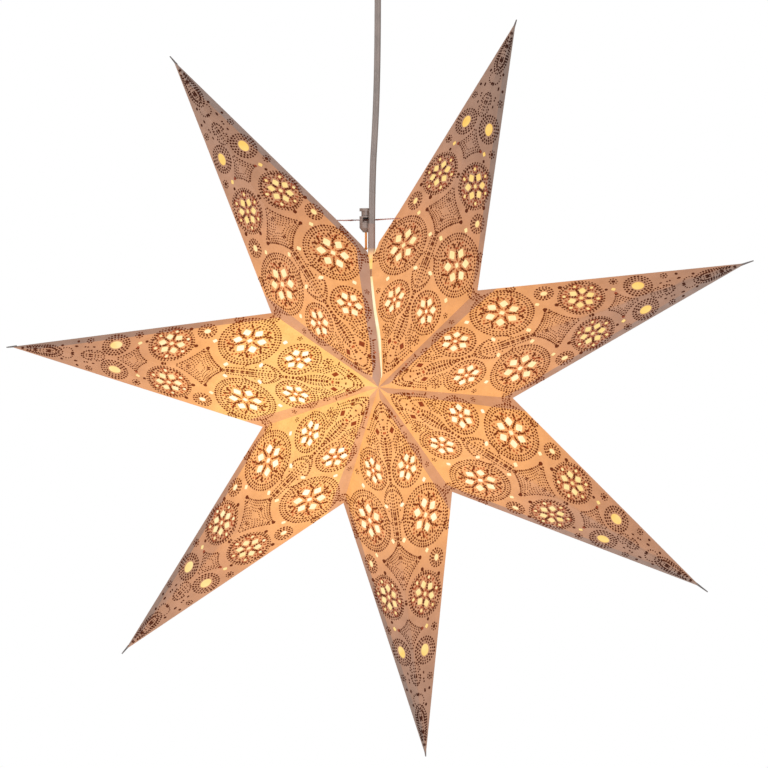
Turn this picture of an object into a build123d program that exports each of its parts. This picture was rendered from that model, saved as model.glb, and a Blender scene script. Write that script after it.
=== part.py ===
from build123d import *
import os
from math import atan2, cos, hypot, pi, radians, sin, tan

os.makedirs("parts", exist_ok=True)

# A seven-pointed folding paper star that hangs on a lamp cable from a ceiling rose.
# Millimetres and degrees. The origin is the middle of the ceiling bracket, +Z is up,
# the star lies in the XZ plane and its front faces -Y.

# Star sheets
POINT_COUNT = 7
TIP_RADIUS = 305.0
NOTCH_RADIUS = 104.7
HALF_DEPTH = 72.2
SEAM_ANGLE = 96.5  # direction of the open seam, counter-clockwise from +X
SEAM_GAP = 2.0  # angle left open at the seam
PAPER = 0.45
TISSUE = 0.15
GLUE_LINE = 0.05  # half the glue film in a valley
SPUR_REACH = 4.0  # pinched end of the paper past the tip
SPUR_ROOT = 2.0
SPUR_WIDTH = 1.2
CUT_OVERRUN = 0.1

# Star centre under the ceiling bracket
STAR_X = 4.5
STAR_Z = -368.0

# Cut-outs of one face. Each place is a share of the ridge length and a share of the
# face's breadth there; sizes are lozenge diagonals, along the radius and across it.
ROSETTES = (
    {"along": 0.228, "across": 0.456, "ring": 7.7, "petal": (6.4, 5.6), "heart": 3.4},
    {"along": 0.372, "across": 0.526, "ring": 10.2, "petal": (8.2, 7.2), "heart": 4.8},
    {"along": 0.574, "across": 0.506, "ring": 7.9, "petal": (6.8, 6.0), "heart": 3.8},
)
PETALS = 6
BEADS = {"along": 0.574, "across": 0.506, "ring": 13.6, "size": (3.6, 3.2)}
DIAMONDS = ((0.279, 0.678), (0.3175, 0.155), (0.409, 0.112), (0.464, 0.553), (0.658, 0.545))
DIAMOND_SIZE = (4.2, 4.2)
OVALS = (
    {"along": 0.494, "across": 0.768, "length": 5.8, "breadth": 5.0},
    {"along": 0.7195, "across": 0.499, "length": 10.2, "breadth": 9.0},
)

# Closing tabs across the seam
TAB_INSET = 16.2  # from the notch to the tab's middle
TAB_LENGTH = 6.0
TAB_LAP = 6.0
TAB_THICKNESS = 0.4
TAB_GLUE = 0.05

# Flat twin cable, its route chosen by hand, and the sleeve on its lower end
CABLE_WIDTH = 5.2
CABLE_THICKNESS = 3.2
CABLE_TOP = -38.0
CABLE_BENDS = ((0.0, -96.0), (-1.5, -154.0))
CABLE_LAST_BEND = -212.0
LAMP_SHIFT = 2.3  # lamp axis to the right of the seam
BEND_SHARE = 0.45  # share of the shorter run that a bend takes up
SLEEVE_WALL = 0.3
SLEEVE_LENGTH = 55.6

# Lampholder
HOLDER_RADIUS = 14.0
HOLDER_WALL = 1.8
SEAT_GAP = 0.4  # from the holder's shoulder to the tissue in the seam's valley
CAP_LENGTH = 24.0
CAP_RISE = 9.5
NECK_RADIUS = 6.2
TURN_CLEARANCE = 0.4
SKIRT_LENGTH = 30.0
SPIGOT_LENGTH = 8.0
THREAD_CLEARANCE = 0.15
CORE_THICKNESS = 9.0
CORE_LEDGE = 3.0
CORE_CLEARANCE = 0.1
SHELL_BORE = 7.05
SHELL_WALL = 0.4
SHELL_LENGTH = 24.0
CONTACT_RADIUS = 3.0
CONTACT_HEIGHT = 1.6
CABLE_IN_HOLDER = 6.0  # the cable's end under the shoulder
LEAD_RADIUS = 0.9
LEAD_OFFSET = 1.3
LEAD_GAP = 0.8
TERMINAL_RADIUS = 1.8
TERMINAL_HEIGHT = 2.5
TERMINAL_OFFSET = 6.0
SLOT_WIDTH = 0.6
SLOT_DEPTH = 0.8

# Bulb
BULB_LENGTH = 78.0
GLOBE_RADIUS = 22.5
GLASS_WALL = 0.8
BULB_GAP = 0.3  # from the bulb's contact to the holder's
PIP_RADIUS = 2.2
PIP_HEIGHT = 1.4
INSULATOR_HEIGHT = 3.0
INSULATOR_RADIUS = 5.8
SCREW_CLEARANCE = 0.3
BULB_CAP_LENGTH = 19.6
BULB_CAP_WALL = 0.3
GLASS_IN_CAP = 10.0
CEMENT_GAP = 0.15
STEM_RADIUS = 1.4
STEM_DISC_RADIUS = 5.0
STEM_DISC_HEIGHT = 1.0
FILAMENT_COUNT = 4
FILAMENT_RADIUS = 0.9
FILAMENT_LENGTH = 26.0
FILAMENT_RING = 3.8

# Tie string and cord lock, placed from the star centre
STRING_RADIUS = 0.5
STRING_HEIGHT = 130.4
STRING_BENDS = (-25.0, -6.0)
STRING_BEND_RADIUS = 8.0
STRING_INSIDE = 14.0
STRING_HOLE_CLEARANCE = 0.6
STRING_HOLE_REACH = 8.0  # the punched hole, outside and inside the crease
KNOT_RADIUS = 1.3
LOCK_X = -14.6
LOCK_RADIUS = 5.25
LOCK_GAP = 0.4  # from the widest cable to the lock
LOCK_HEIGHT = 9.3
LOCK_TAPER = 3.6
LOCK_FOOT_RADIUS = 2.4
LOCK_FLOOR = 1.5
LOCK_WALL = 1.2
STRING_DEPTH = 3.0  # the string under the lock's rim
WINDOW_WIDTH = 5.0
WINDOW_HEIGHT = 4.0
BUTTON_TRAVEL = 2.5
BUTTON_NECK = 4.0
BUTTON_HEAD = 2.4
BUTTON_CLEARANCE = 0.3
BUTTON_FOOT = 1.2
SPRING_WALL = 0.6
SPRING_RADIUS = 2.4
TAIL_RADIUS = 0.6
TAIL_LENGTH = 13.0
TAIL_KNOT_RADIUS = 1.2

# Ceiling rose
CANOPY_RADIUS = 38.0
CANOPY_HEIGHT = 36.0
CANOPY_WALL = 1.2
CANOPY_ROUND = 8.0
BRACKET_THICKNESS = 2.0
BRACKET_LENGTH = 64.0
BRACKET_WIDTH = 16.0
FIXING_SPACING = 50.0
FIXING_RADIUS = 2.5
LEG_WIDTH = 12.0
LEG_DROP = 14.0
LEG_CLEARANCE = 1.2
SIDE_SCREW_Z = -9.0
SIDE_SCREW_RADIUS = 1.5
SIDE_SCREW_CLEARANCE = 0.15
SIDE_HEAD_RADIUS = 3.0
SIDE_HEAD_HEIGHT = 2.0
GRIP_RADIUS = 5.0
GRIP_CLEARANCE = 0.1
GRIP_FLANGE_RADIUS = 9.0
GRIP_BELL_DROP = 10.0
GRIP_TOP = -24.0
THROAT_CLEARANCE = 0.35
SWING_ANGLE = 15.0
NUT_HEIGHT = 4.0
NUT_ACROSS_FLATS = 15.0
TAIL_GAP = 1.0
BLOCK_LENGTH = 26.0
BLOCK_WIDTH = 14.0
BLOCK_HEIGHT = 12.0
BLOCK_SCREW_RADIUS = 1.6
BLOCK_SCREW_SINK = 3.5
BLOCK_SCREW_SPACING = 12.0

# Worked out from the driving dimensions
PITCH = (360 - SEAM_GAP) / POINT_COUNT
HALF_POINT = radians(PITCH / 2)
SEAM = radians(SEAM_ANGLE)
STAR_CENTRE = Vector(STAR_X, 0, STAR_Z)
TIP = Vector(TIP_RADIUS, 0, 0)
LAMP_X = STAR_X + NOTCH_RADIUS * cos(SEAM) + LAMP_SHIFT
SLEEVE_WIDTH = CABLE_WIDTH + 2 * SLEEVE_WALL
SLEEVE_THICKNESS = CABLE_THICKNESS + 2 * SLEEVE_WALL
VALLEY_SLOPE = atan2(HALF_DEPTH, NOTCH_RADIUS)
SEAT_ROOM = HOLDER_RADIUS + PAPER + TISSUE + SEAT_GAP
SHOULDER_Z = STAR_Z + (NOTCH_RADIUS - SEAT_ROOM / sin(VALLEY_SLOPE)) * sin(SEAM)
CABLE_END = SHOULDER_Z - CABLE_IN_HOLDER
PASSAGE_RADIUS = SLEEVE_WIDTH / 2 + TURN_CLEARANCE
LAMP_AXIS = Plane(origin=(LAMP_X, 0, 0), x_dir=(1, 0, 0), z_dir=(0, -1, 0))


def point_angle(number):
    # points are counted clockwise, point 1 left of the seam and point 2 right of it
    steps = number - 1.5 if number > 1 else POINT_COUNT - 0.5
    return SEAM_ANGLE - SEAM_GAP / 2 - PITCH * steps


def point_place(number):
    return Location(STAR_CENTRE, (0, -point_angle(number), 0))


def notch(turn):
    # notch beside a point that lies along +X: turn 1 is counter-clockwise of it
    return Vector(NOTCH_RADIUS * cos(HALF_POINT), 0, turn * NOTCH_RADIUS * sin(HALF_POINT))


def face_plane(side, turn, depth):
    # one of a point's four faces, moved inwards by depth: side -1 is the front
    apex = Vector(0, side * HALF_DEPTH, 0)
    normal = (TIP - apex).cross(notch(turn) - apex).normalized()
    if normal.Y * side < 0:
        normal = -normal
    return Plane(apex - normal * depth, x_dir=TIP - apex, z_dir=normal)


FACES = [(side, turn) for side in (-1, 1) for turn in (-1, 1)]


def solid_point(depth):
    # the wedge between two valleys, cut back to the four faces
    reach = TIP_RADIUS + SPUR_REACH
    start = GLUE_LINE / sin(HALF_POINT)
    spread = (reach - start) * tan(HALF_POINT)
    with BuildPart() as wedge:
        with BuildSketch(Plane.XZ):
            with BuildLine():
                Polyline((start, 0), (reach, spread), (reach, -spread), close=True)
            make_face()
        extrude(amount=HALF_DEPTH, both=True)
        for side, turn in FACES:
            split(bisect_by=face_plane(side, turn, depth), keep=Keep.BOTTOM)
    return wedge.part


def on_face(turn, side, along, across):
    # sheet coordinates of a motif, from its shares of ridge and breadth
    apex = Vector(0, side * HALF_DEPTH, 0)
    plane = face_plane(side, turn, 0)
    corner = plane.to_local_coords(notch(turn))
    ridge = (TIP - apex).length
    run = along * ridge
    if run < corner.X:
        breadth = corner.Y * run / corner.X
    else:
        breadth = corner.Y * (ridge - run) / (ridge - corner.X)
    return run, across * breadth


def lozenge(length, breadth):
    Polygon((length / 2, 0), (0, breadth / 2), (-length / 2, 0), (0, -breadth / 2))


def cut_outs(side, turn):
    for rosette in ROSETTES:
        with Locations(on_face(turn, side, rosette["along"], rosette["across"])):
            lozenge(rosette["heart"], rosette["heart"])
            with PolarLocations(rosette["ring"], PETALS):
                lozenge(*rosette["petal"])
    with Locations(on_face(turn, side, BEADS["along"], BEADS["across"])):
        with PolarLocations(BEADS["ring"], PETALS, start_angle=180 / PETALS):
            lozenge(*BEADS["size"])
    for along, across in DIAMONDS:
        with Locations(on_face(turn, side, along, across)):
            lozenge(*DIAMOND_SIZE)
    for oval in OVALS:
        with Locations(on_face(turn, side, oval["along"], oval["across"])):
            Ellipse(oval["length"] / 2, oval["breadth"] / 2)


# One folded sheet, lying along +X
outer = solid_point(0)
room = solid_point(PAPER)
edge = (TIP - notch(-1)).normalized()
with BuildPart() as sheet:
    add(outer)
    add(room, mode=Mode.SUBTRACT)
    with BuildSketch(Plane(TIP - edge * SPUR_ROOT, x_dir=(0, 1, 0), z_dir=edge)):
        Rectangle(2 * PAPER, SPUR_WIDTH)
    extrude(amount=SPUR_ROOT + SPUR_REACH)
    for side, turn in FACES:
        with BuildSketch(face_plane(side, turn, 0)):
            cut_outs(side, turn)
        extrude(amount=-(PAPER + CUT_OVERRUN), mode=Mode.SUBTRACT)

# Its tissue liner
inside = solid_point(PAPER + TISSUE)
with BuildPart() as liner:
    add(room)
    add(inside, mode=Mode.SUBTRACT)


def crease_point(number, turn):
    # where the string meets the silhouette crease of a point beside the seam
    angle = radians(point_angle(number))
    swing = angle + turn * HALF_POINT
    low = Vector(NOTCH_RADIUS * cos(swing), 0, NOTCH_RADIUS * sin(swing))
    high = Vector(TIP_RADIUS * cos(angle), 0, TIP_RADIUS * sin(angle))
    return low + (high - low) * ((STRING_HEIGHT - low.Z) / (high.Z - low.Z))


# String route through the two creases and the lock, from the star centre
LOCK_Y = SLEEVE_WIDTH / 2 + LOCK_GAP + LOCK_RADIUS
left_bend = Vector(STRING_BENDS[0], LOCK_Y, STRING_HEIGHT)
right_bend = Vector(STRING_BENDS[1], LOCK_Y, STRING_HEIGHT)
left_crease = crease_point(1, -1)
right_crease = crease_point(2, 1)
left_way = (left_crease - left_bend).normalized()
right_way = (right_crease - right_bend).normalized()
string_route = [
    STAR_CENTRE + left_crease + left_way * STRING_INSIDE,
    STAR_CENTRE + left_bend,
    STAR_CENTRE + right_bend,
    STAR_CENTRE + right_crease + right_way * STRING_INSIDE,
]
STRING_HOLES = {1: (left_crease, left_way), 2: (right_crease, right_way)}

for number in range(1, POINT_COUNT + 1):
    for name, pattern in (("point", sheet), ("tissue", liner)):
        placed = pattern.part.moved(point_place(number))
        with BuildPart() as piece:
            add(placed)
            if number in STRING_HOLES:
                # cable passage up through the notch
                with BuildSketch(Plane((LAMP_X, 0, SHOULDER_Z + CAP_RISE))):
                    Circle(PASSAGE_RADIUS)
                extrude(amount=NOTCH_RADIUS, mode=Mode.SUBTRACT)
                # punched hole in the crease
                crease, way = STRING_HOLES[number]
                with BuildSketch(Plane(STAR_CENTRE + crease, z_dir=way)):
                    Circle(STRING_RADIUS + STRING_HOLE_CLEARANCE)
                extrude(amount=STRING_HOLE_REACH, both=True, mode=Mode.SUBTRACT)
        piece.part.label = f"{name}_{number}"
        export_step(piece.part, f"parts/{name}_{number}.step")


def half_tab(side, turn):
    # the half of a closing tab inside one point, reaching to the middle of the seam
    depth = PAPER + TISSUE + TAB_GLUE
    seam_way = HALF_POINT + radians(SEAM_GAP / 2)
    along = Vector(cos(seam_way), turn * sin(seam_way))
    across = Vector(sin(seam_way), -turn * cos(seam_way))
    middle = NOTCH_RADIUS - TAB_INSET
    near = along * (middle - TAB_LENGTH / 2)
    far = along * (middle + TAB_LENGTH / 2)
    lap = across * TAB_LAP
    with BuildPart() as half:
        with BuildSketch(Plane.XZ):
            with BuildLine():
                Polyline(near, far, far + lap, near + lap, close=True)
            make_face()
        extrude(amount=HALF_DEPTH, both=True)
        split(bisect_by=face_plane(side, turn, depth), keep=Keep.BOTTOM)
        split(bisect_by=face_plane(side, turn, depth + TAB_THICKNESS), keep=Keep.TOP)
    return half.part


for side, name in ((-1, "closing_tab_front"), (1, "closing_tab_back")):
    left_half = half_tab(side, -1).moved(point_place(1))
    right_half = half_tab(side, 1).moved(point_place(2))
    with BuildPart() as tab:
        add(left_half)
        add(right_half)
    tab.part.label = name
    export_step(tab.part, f"parts/{name}.step")

# Tie string with a knot inside each point
with BuildPart() as tie_string:
    with BuildLine() as string_line:
        FilletPolyline(*string_route, radius=STRING_BEND_RADIUS)
    with BuildSketch(Plane(string_line.line @ 0, z_dir=string_line.line % 0)):
        Circle(STRING_RADIUS)
    sweep()
    with Locations(string_route[0], string_route[-1]):
        Sphere(KNOT_RADIUS)
tie_string.part.label = "tie_string"
export_step(tie_string.part, "parts/tie_string.step")

# Cord lock, turned about its own upright axis
LOCK_RIM = STAR_Z + STRING_HEIGHT + STRING_DEPTH
LOCK_BORE = LOCK_RADIUS - LOCK_WALL
LOCK_CENTRE = Vector(STAR_X + LOCK_X, LOCK_Y, 0)
STRING_Z = STAR_Z + STRING_HEIGHT
HOLE_RADIUS = STRING_RADIUS + STRING_HOLE_CLEARANCE
lock_plane = Plane(LOCK_CENTRE, x_dir=(1, 0, 0), z_dir=(0, -1, 0))
lock_cross = Plane((LOCK_CENTRE.X, LOCK_CENTRE.Y, STRING_Z), x_dir=(0, 1, 0), z_dir=(1, 0, 0))
lock_front = Plane((LOCK_CENTRE.X, LOCK_CENTRE.Y, STRING_Z), x_dir=(1, 0, 0), z_dir=(0, -1, 0))
foot = LOCK_RIM - LOCK_HEIGHT - LOCK_TAPER
bore_floor = foot + LOCK_FLOOR
with BuildPart() as cord_lock:
    with BuildSketch(lock_plane):
        with BuildLine():
            Polyline(
                (0, foot),
                (LOCK_FOOT_RADIUS, foot),
                (LOCK_RADIUS, foot + LOCK_TAPER),
                (LOCK_RADIUS, LOCK_RIM),
                (LOCK_BORE, LOCK_RIM),
                (LOCK_BORE, foot + LOCK_TAPER),
                (SPRING_RADIUS + BUTTON_CLEARANCE, bore_floor),
                (0, bore_floor),
                close=True,
            )
        make_face()
    revolve(axis=Axis(LOCK_CENTRE, (0, 0, 1)))
    with BuildSketch(lock_cross):
        Circle(HOLE_RADIUS)
    extrude(amount=LOCK_RADIUS, both=True, mode=Mode.SUBTRACT)
    with BuildSketch(lock_front):
        Rectangle(WINDOW_WIDTH, WINDOW_HEIGHT)
    extrude(amount=LOCK_RADIUS, both=True, mode=Mode.SUBTRACT)
cord_lock.part.label = "cord_lock_body"
export_step(cord_lock.part, "parts/cord_lock_body.step")

# Button, with slots that let the string through at rest and pressed
slot_low = STRING_Z - STRING_RADIUS - BUTTON_CLEARANCE
slot_high = STRING_Z + STRING_RADIUS + BUTTON_CLEARANCE + BUTTON_TRAVEL
slot_middle = (slot_low + slot_high) / 2 - STRING_Z
button_foot = slot_low - BUTTON_FOOT
with BuildPart() as button:
    with BuildSketch(Plane((LOCK_CENTRE.X, LOCK_CENTRE.Y, button_foot))):
        Circle(LOCK_BORE - BUTTON_CLEARANCE)
    extrude(amount=LOCK_RIM + BUTTON_NECK - button_foot)
    with BuildSketch(Plane((LOCK_CENTRE.X, LOCK_CENTRE.Y, LOCK_RIM + BUTTON_NECK))):
        Circle(LOCK_RADIUS)
    extrude(amount=BUTTON_HEAD)
    with BuildSketch(lock_cross):
        with Locations((0, slot_middle)):
            Rectangle(2 * HOLE_RADIUS, slot_high - slot_low)
    extrude(amount=LOCK_RADIUS, both=True, mode=Mode.SUBTRACT)
    with BuildSketch(lock_front):
        with Locations((0, slot_middle)):
            Rectangle(WINDOW_WIDTH - 2 * BUTTON_CLEARANCE, slot_high - slot_low)
    extrude(amount=LOCK_RADIUS, both=True, mode=Mode.SUBTRACT)
button.part.label = "cord_lock_button"
export_step(button.part, "parts/cord_lock_button.step")

with BuildPart() as spring:
    with BuildSketch(Plane((LOCK_CENTRE.X, LOCK_CENTRE.Y, bore_floor))):
        Circle(SPRING_RADIUS)
        Circle(SPRING_RADIUS - SPRING_WALL, mode=Mode.SUBTRACT)
    extrude(amount=button_foot - bore_floor)
spring.part.label = "cord_lock_spring"
export_step(spring.part, "parts/cord_lock_spring.step")

with BuildPart() as string_tail:
    with BuildSketch(Plane((LOCK_CENTRE.X, LOCK_CENTRE.Y, foot))):
        Circle(TAIL_RADIUS)
    extrude(amount=-TAIL_LENGTH)
    with Locations((LOCK_CENTRE.X, LOCK_CENTRE.Y, foot - TAIL_LENGTH)):
        Sphere(TAIL_KNOT_RADIUS)
string_tail.part.label = "string_tail"
export_step(string_tail.part, "parts/string_tail.step")

# Cable: straight runs joined by arcs as large as the runs allow
cable_route = [Vector(0, 0, CABLE_TOP)]
cable_route += [Vector(x, 0, z) for x, z in CABLE_BENDS]
cable_route += [Vector(LAMP_X, 0, CABLE_LAST_BEND), Vector(LAMP_X, 0, CABLE_END)]
bend_radii = []
for before, at, after in zip(cable_route, cable_route[1:], cable_route[2:]):
    turn_angle = radians((at - before).get_angle(after - at))
    shorter = min((at - before).length, (after - at).length)
    bend_radii.append(BEND_SHARE * shorter / tan(turn_angle / 2))
print("cable bend radii", [round(radius) for radius in bend_radii])
with BuildPart() as cable:
    with BuildLine() as cable_line:
        FilletPolyline(*cable_route, radius=bend_radii)
    with BuildSketch(Plane(cable_route[0], x_dir=(1, 0, 0), z_dir=(0, 0, -1))):
        SlotOverall(CABLE_WIDTH, CABLE_THICKNESS)
    sweep()
section = (CABLE_WIDTH - CABLE_THICKNESS) * CABLE_THICKNESS + pi * CABLE_THICKNESS**2 / 4
cable_length = cable_line.wires()[0].length
print("cable length", round(cable_length, 1), "volume", round(cable.part.volume, 1))
print("section times length", round(section * cable_length, 1))
cable.part.label = "cable"
export_step(cable.part, "parts/cable.step")

with BuildPart() as sleeve:
    with BuildSketch(Plane((LAMP_X, 0, CABLE_END))):
        SlotOverall(SLEEVE_WIDTH, SLEEVE_THICKNESS)
        SlotOverall(CABLE_WIDTH, CABLE_THICKNESS, mode=Mode.SUBTRACT)
    extrude(amount=SLEEVE_LENGTH)
sleeve.part.label = "cable_sleeve"
export_step(sleeve.part, "parts/cable_sleeve.step")

# Lampholder, turned about the lamp's axis
lamp_line = Axis((LAMP_X, 0, 0), (0, 0, 1))
cap_bottom = SHOULDER_Z - CAP_LENGTH
neck_top = SHOULDER_Z + CAP_RISE
with BuildPart() as holder_cap:
    with BuildSketch(LAMP_AXIS):
        with BuildLine():
            Polyline(
                (HOLDER_RADIUS, cap_bottom),
                (HOLDER_RADIUS, SHOULDER_Z),
                (NECK_RADIUS, neck_top),
                (PASSAGE_RADIUS, neck_top),
                (PASSAGE_RADIUS, neck_top - 2 * HOLDER_WALL),
                (HOLDER_RADIUS - HOLDER_WALL, SHOULDER_Z - HOLDER_WALL),
                (HOLDER_RADIUS - HOLDER_WALL, cap_bottom),
                close=True,
            )
        make_face()
    revolve(axis=lamp_line)
holder_cap.part.label = "holder_cap"
export_step(holder_cap.part, "parts/holder_cap.step")

spigot_radius = HOLDER_RADIUS - HOLDER_WALL - THREAD_CLEARANCE
core_radius = spigot_radius - HOLDER_WALL - CORE_CLEARANCE
mouth = cap_bottom - SKIRT_LENGTH
ledge = cap_bottom - CORE_LEDGE
with BuildPart() as holder_skirt:
    with BuildSketch(LAMP_AXIS):
        with BuildLine():
            Polyline(
                (core_radius - HOLDER_WALL, mouth),
                (HOLDER_RADIUS, mouth),
                (HOLDER_RADIUS, cap_bottom),
                (spigot_radius, cap_bottom),
                (spigot_radius, cap_bottom + SPIGOT_LENGTH),
                (core_radius + CORE_CLEARANCE, cap_bottom + SPIGOT_LENGTH),
                (core_radius + CORE_CLEARANCE, ledge),
                (core_radius - HOLDER_WALL, ledge),
                close=True,
            )
        make_face()
    revolve(axis=lamp_line)
holder_skirt.part.label = "holder_skirt"
export_step(holder_skirt.part, "parts/holder_skirt.step")

core_top = ledge + CORE_THICKNESS
with BuildPart() as holder_core:
    with BuildSketch(Plane((LAMP_X, 0, ledge))):
        Circle(core_radius)
    extrude(amount=CORE_THICKNESS)
holder_core.part.label = "holder_core"
export_step(holder_core.part, "parts/holder_core.step")

with BuildPart() as screw_shell:
    with BuildSketch(Plane((LAMP_X, 0, ledge))):
        Circle(SHELL_BORE + SHELL_WALL)
        Circle(SHELL_BORE, mode=Mode.SUBTRACT)
    extrude(amount=-SHELL_LENGTH)
screw_shell.part.label = "screw_shell"
export_step(screw_shell.part, "parts/screw_shell.step")

with BuildPart() as centre_contact:
    with BuildSketch(Plane((LAMP_X, 0, ledge))):
        Circle(CONTACT_RADIUS)
    extrude(amount=-CONTACT_HEIGHT)
    chamfer(centre_contact.faces().sort_by(Axis.Z)[0].edges(), CONTACT_HEIGHT / 2)
centre_contact.part.label = "centre_contact"
export_step(centre_contact.part, "parts/centre_contact.step")

with BuildPart() as terminal_screws:
    with BuildSketch(Plane((LAMP_X, 0, core_top))):
        with Locations((-TERMINAL_OFFSET, 0), (TERMINAL_OFFSET, 0)):
            Circle(TERMINAL_RADIUS)
    extrude(amount=TERMINAL_HEIGHT)
    with BuildSketch(Plane((LAMP_X, 0, core_top + TERMINAL_HEIGHT))):
        with Locations((-TERMINAL_OFFSET, 0), (TERMINAL_OFFSET, 0)):
            Rectangle(SLOT_WIDTH, 2 * TERMINAL_RADIUS)
    extrude(amount=-SLOT_DEPTH, mode=Mode.SUBTRACT)
terminal_screws.part.label = "terminal_screws"
export_step(terminal_screws.part, "parts/terminal_screws.step")

with BuildPart() as holder_leads:
    with BuildSketch(Plane((LAMP_X, 0, core_top))):
        with Locations((-LEAD_OFFSET, 0), (LEAD_OFFSET, 0)):
            Circle(LEAD_RADIUS)
    extrude(amount=CABLE_END - LEAD_GAP - core_top)
holder_leads.part.label = "holder_leads"
export_step(holder_leads.part, "parts/holder_leads.step")

# Bulb, hanging under the holder's contact
bulb_top = ledge - CONTACT_HEIGHT - BULB_GAP
with BuildPart() as bulb_contact:
    with BuildSketch(Plane((LAMP_X, 0, bulb_top))):
        Circle(PIP_RADIUS)
    extrude(amount=-PIP_HEIGHT)
    chamfer(bulb_contact.faces().sort_by(Axis.Z)[-1].edges(), PIP_HEIGHT / 2)
bulb_contact.part.label = "bulb_contact"
export_step(bulb_contact.part, "parts/bulb_contact.step")

pip_foot = bulb_top - PIP_HEIGHT
cap_top = pip_foot - INSULATOR_HEIGHT
with BuildPart() as bulb_insulator:
    with BuildSketch(LAMP_AXIS):
        with BuildLine():
            Polyline(
                (0, cap_top),
                (INSULATOR_RADIUS, cap_top),
                (PIP_RADIUS, pip_foot),
                (0, pip_foot),
                close=True,
            )
        make_face()
    revolve(axis=lamp_line)
bulb_insulator.part.label = "bulb_insulator"
export_step(bulb_insulator.part, "parts/bulb_insulator.step")

bulb_cap_radius = SHELL_BORE - SCREW_CLEARANCE
cap_foot = cap_top - BULB_CAP_LENGTH
with BuildPart() as bulb_cap:
    with BuildSketch(Plane((LAMP_X, 0, cap_top))):
        Circle(bulb_cap_radius)
    extrude(amount=-BULB_CAP_LENGTH)
    with BuildSketch(Plane((LAMP_X, 0, cap_top - BULB_CAP_WALL))):
        Circle(bulb_cap_radius - BULB_CAP_WALL)
    extrude(amount=-BULB_CAP_LENGTH, mode=Mode.SUBTRACT)
bulb_cap.part.label = "bulb_cap"
export_step(bulb_cap.part, "parts/bulb_cap.step")

globe_z = bulb_top - BULB_LENGTH + GLOBE_RADIUS
glass_neck = bulb_cap_radius - BULB_CAP_WALL - CEMENT_GAP


def glass_body(shrink):
    # globe and neck in one outline, the straight flank tangent to the globe
    ball = GLOBE_RADIUS - shrink
    neck = glass_neck - shrink
    rise = cap_foot - globe_z
    reach = hypot(neck, rise)
    lean = atan2(neck, rise) + atan2((reach**2 - ball**2) ** 0.5, ball)
    flank = (ball * sin(lean), globe_z + ball * cos(lean))
    middle = (lean + radians(180)) / 2
    with BuildPart() as body:
        with BuildSketch(LAMP_AXIS):
            with BuildLine():
                ThreePointArc(
                    (0, globe_z - ball),
                    (ball * sin(middle), globe_z + ball * cos(middle)),
                    flank,
                )
                Line(flank, (neck, cap_foot))
                Line((neck, cap_foot), (neck, cap_foot + GLASS_IN_CAP))
                Line((neck, cap_foot + GLASS_IN_CAP), (0, cap_foot + GLASS_IN_CAP))
                Line((0, cap_foot + GLASS_IN_CAP), (0, globe_z - ball))
            make_face()
        revolve(axis=lamp_line)
    return body.part


glass_outside = glass_body(0)
glass_inside = glass_body(GLASS_WALL)
with BuildPart() as bulb_glass:
    add(glass_outside)
    add(glass_inside, mode=Mode.SUBTRACT)
bulb_glass.part.label = "bulb_glass"
export_step(bulb_glass.part, "parts/bulb_glass.step")

high_disc = globe_z + FILAMENT_LENGTH / 2
low_disc = globe_z - FILAMENT_LENGTH / 2
plug_radius = glass_neck - GLASS_WALL - CEMENT_GAP
with BuildPart() as bulb_stem:
    with BuildSketch(Plane((LAMP_X, 0, cap_foot + GLASS_IN_CAP))):
        Circle(plug_radius)
    extrude(amount=-GLASS_IN_CAP)
    with BuildSketch(Plane((LAMP_X, 0, cap_foot))):
        Circle(STEM_RADIUS)
    extrude(amount=low_disc - cap_foot)
    for level, way in ((high_disc, 1), (low_disc, -1)):
        with BuildSketch(Plane((LAMP_X, 0, level))):
            Circle(STEM_DISC_RADIUS)
        extrude(amount=way * STEM_DISC_HEIGHT)
bulb_stem.part.label = "bulb_stem"
export_step(bulb_stem.part, "parts/bulb_stem.step")

with BuildPart() as bulb_filaments:
    with BuildSketch(Plane((LAMP_X, 0, low_disc))):
        with PolarLocations(FILAMENT_RING, FILAMENT_COUNT, start_angle=180 / FILAMENT_COUNT):
            Circle(FILAMENT_RADIUS)
    extrude(amount=FILAMENT_LENGTH)
bulb_filaments.part.label = "bulb_filaments"
export_step(bulb_filaments.part, "parts/bulb_filaments.step")

# Ceiling bracket: a cross of strip with two fixing holes and two bent legs
leg_face = CANOPY_RADIUS - CANOPY_WALL - LEG_CLEARANCE
side_screw_hole = SIDE_SCREW_RADIUS + SIDE_SCREW_CLEARANCE
side_plane = Plane((0, 0, SIDE_SCREW_Z), x_dir=(1, 0, 0), z_dir=(0, -1, 0))
with BuildPart() as bracket:
    with BuildSketch():
        Rectangle(BRACKET_LENGTH, BRACKET_WIDTH)
        Rectangle(LEG_WIDTH, 2 * leg_face)
        with GridLocations(FIXING_SPACING, 0, 2, 1):
            Circle(FIXING_RADIUS, mode=Mode.SUBTRACT)
    extrude(amount=-BRACKET_THICKNESS)
    with BuildSketch(Plane((0, 0, -BRACKET_THICKNESS))):
        with GridLocations(0, 2 * leg_face - BRACKET_THICKNESS, 1, 2):
            Rectangle(LEG_WIDTH, BRACKET_THICKNESS)
    extrude(amount=-LEG_DROP)
    with BuildSketch(side_plane):
        Circle(side_screw_hole)
    extrude(amount=CANOPY_RADIUS, both=True, mode=Mode.SUBTRACT)
bracket.part.label = "ceiling_bracket"
export_step(bracket.part, "parts/ceiling_bracket.step")

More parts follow.
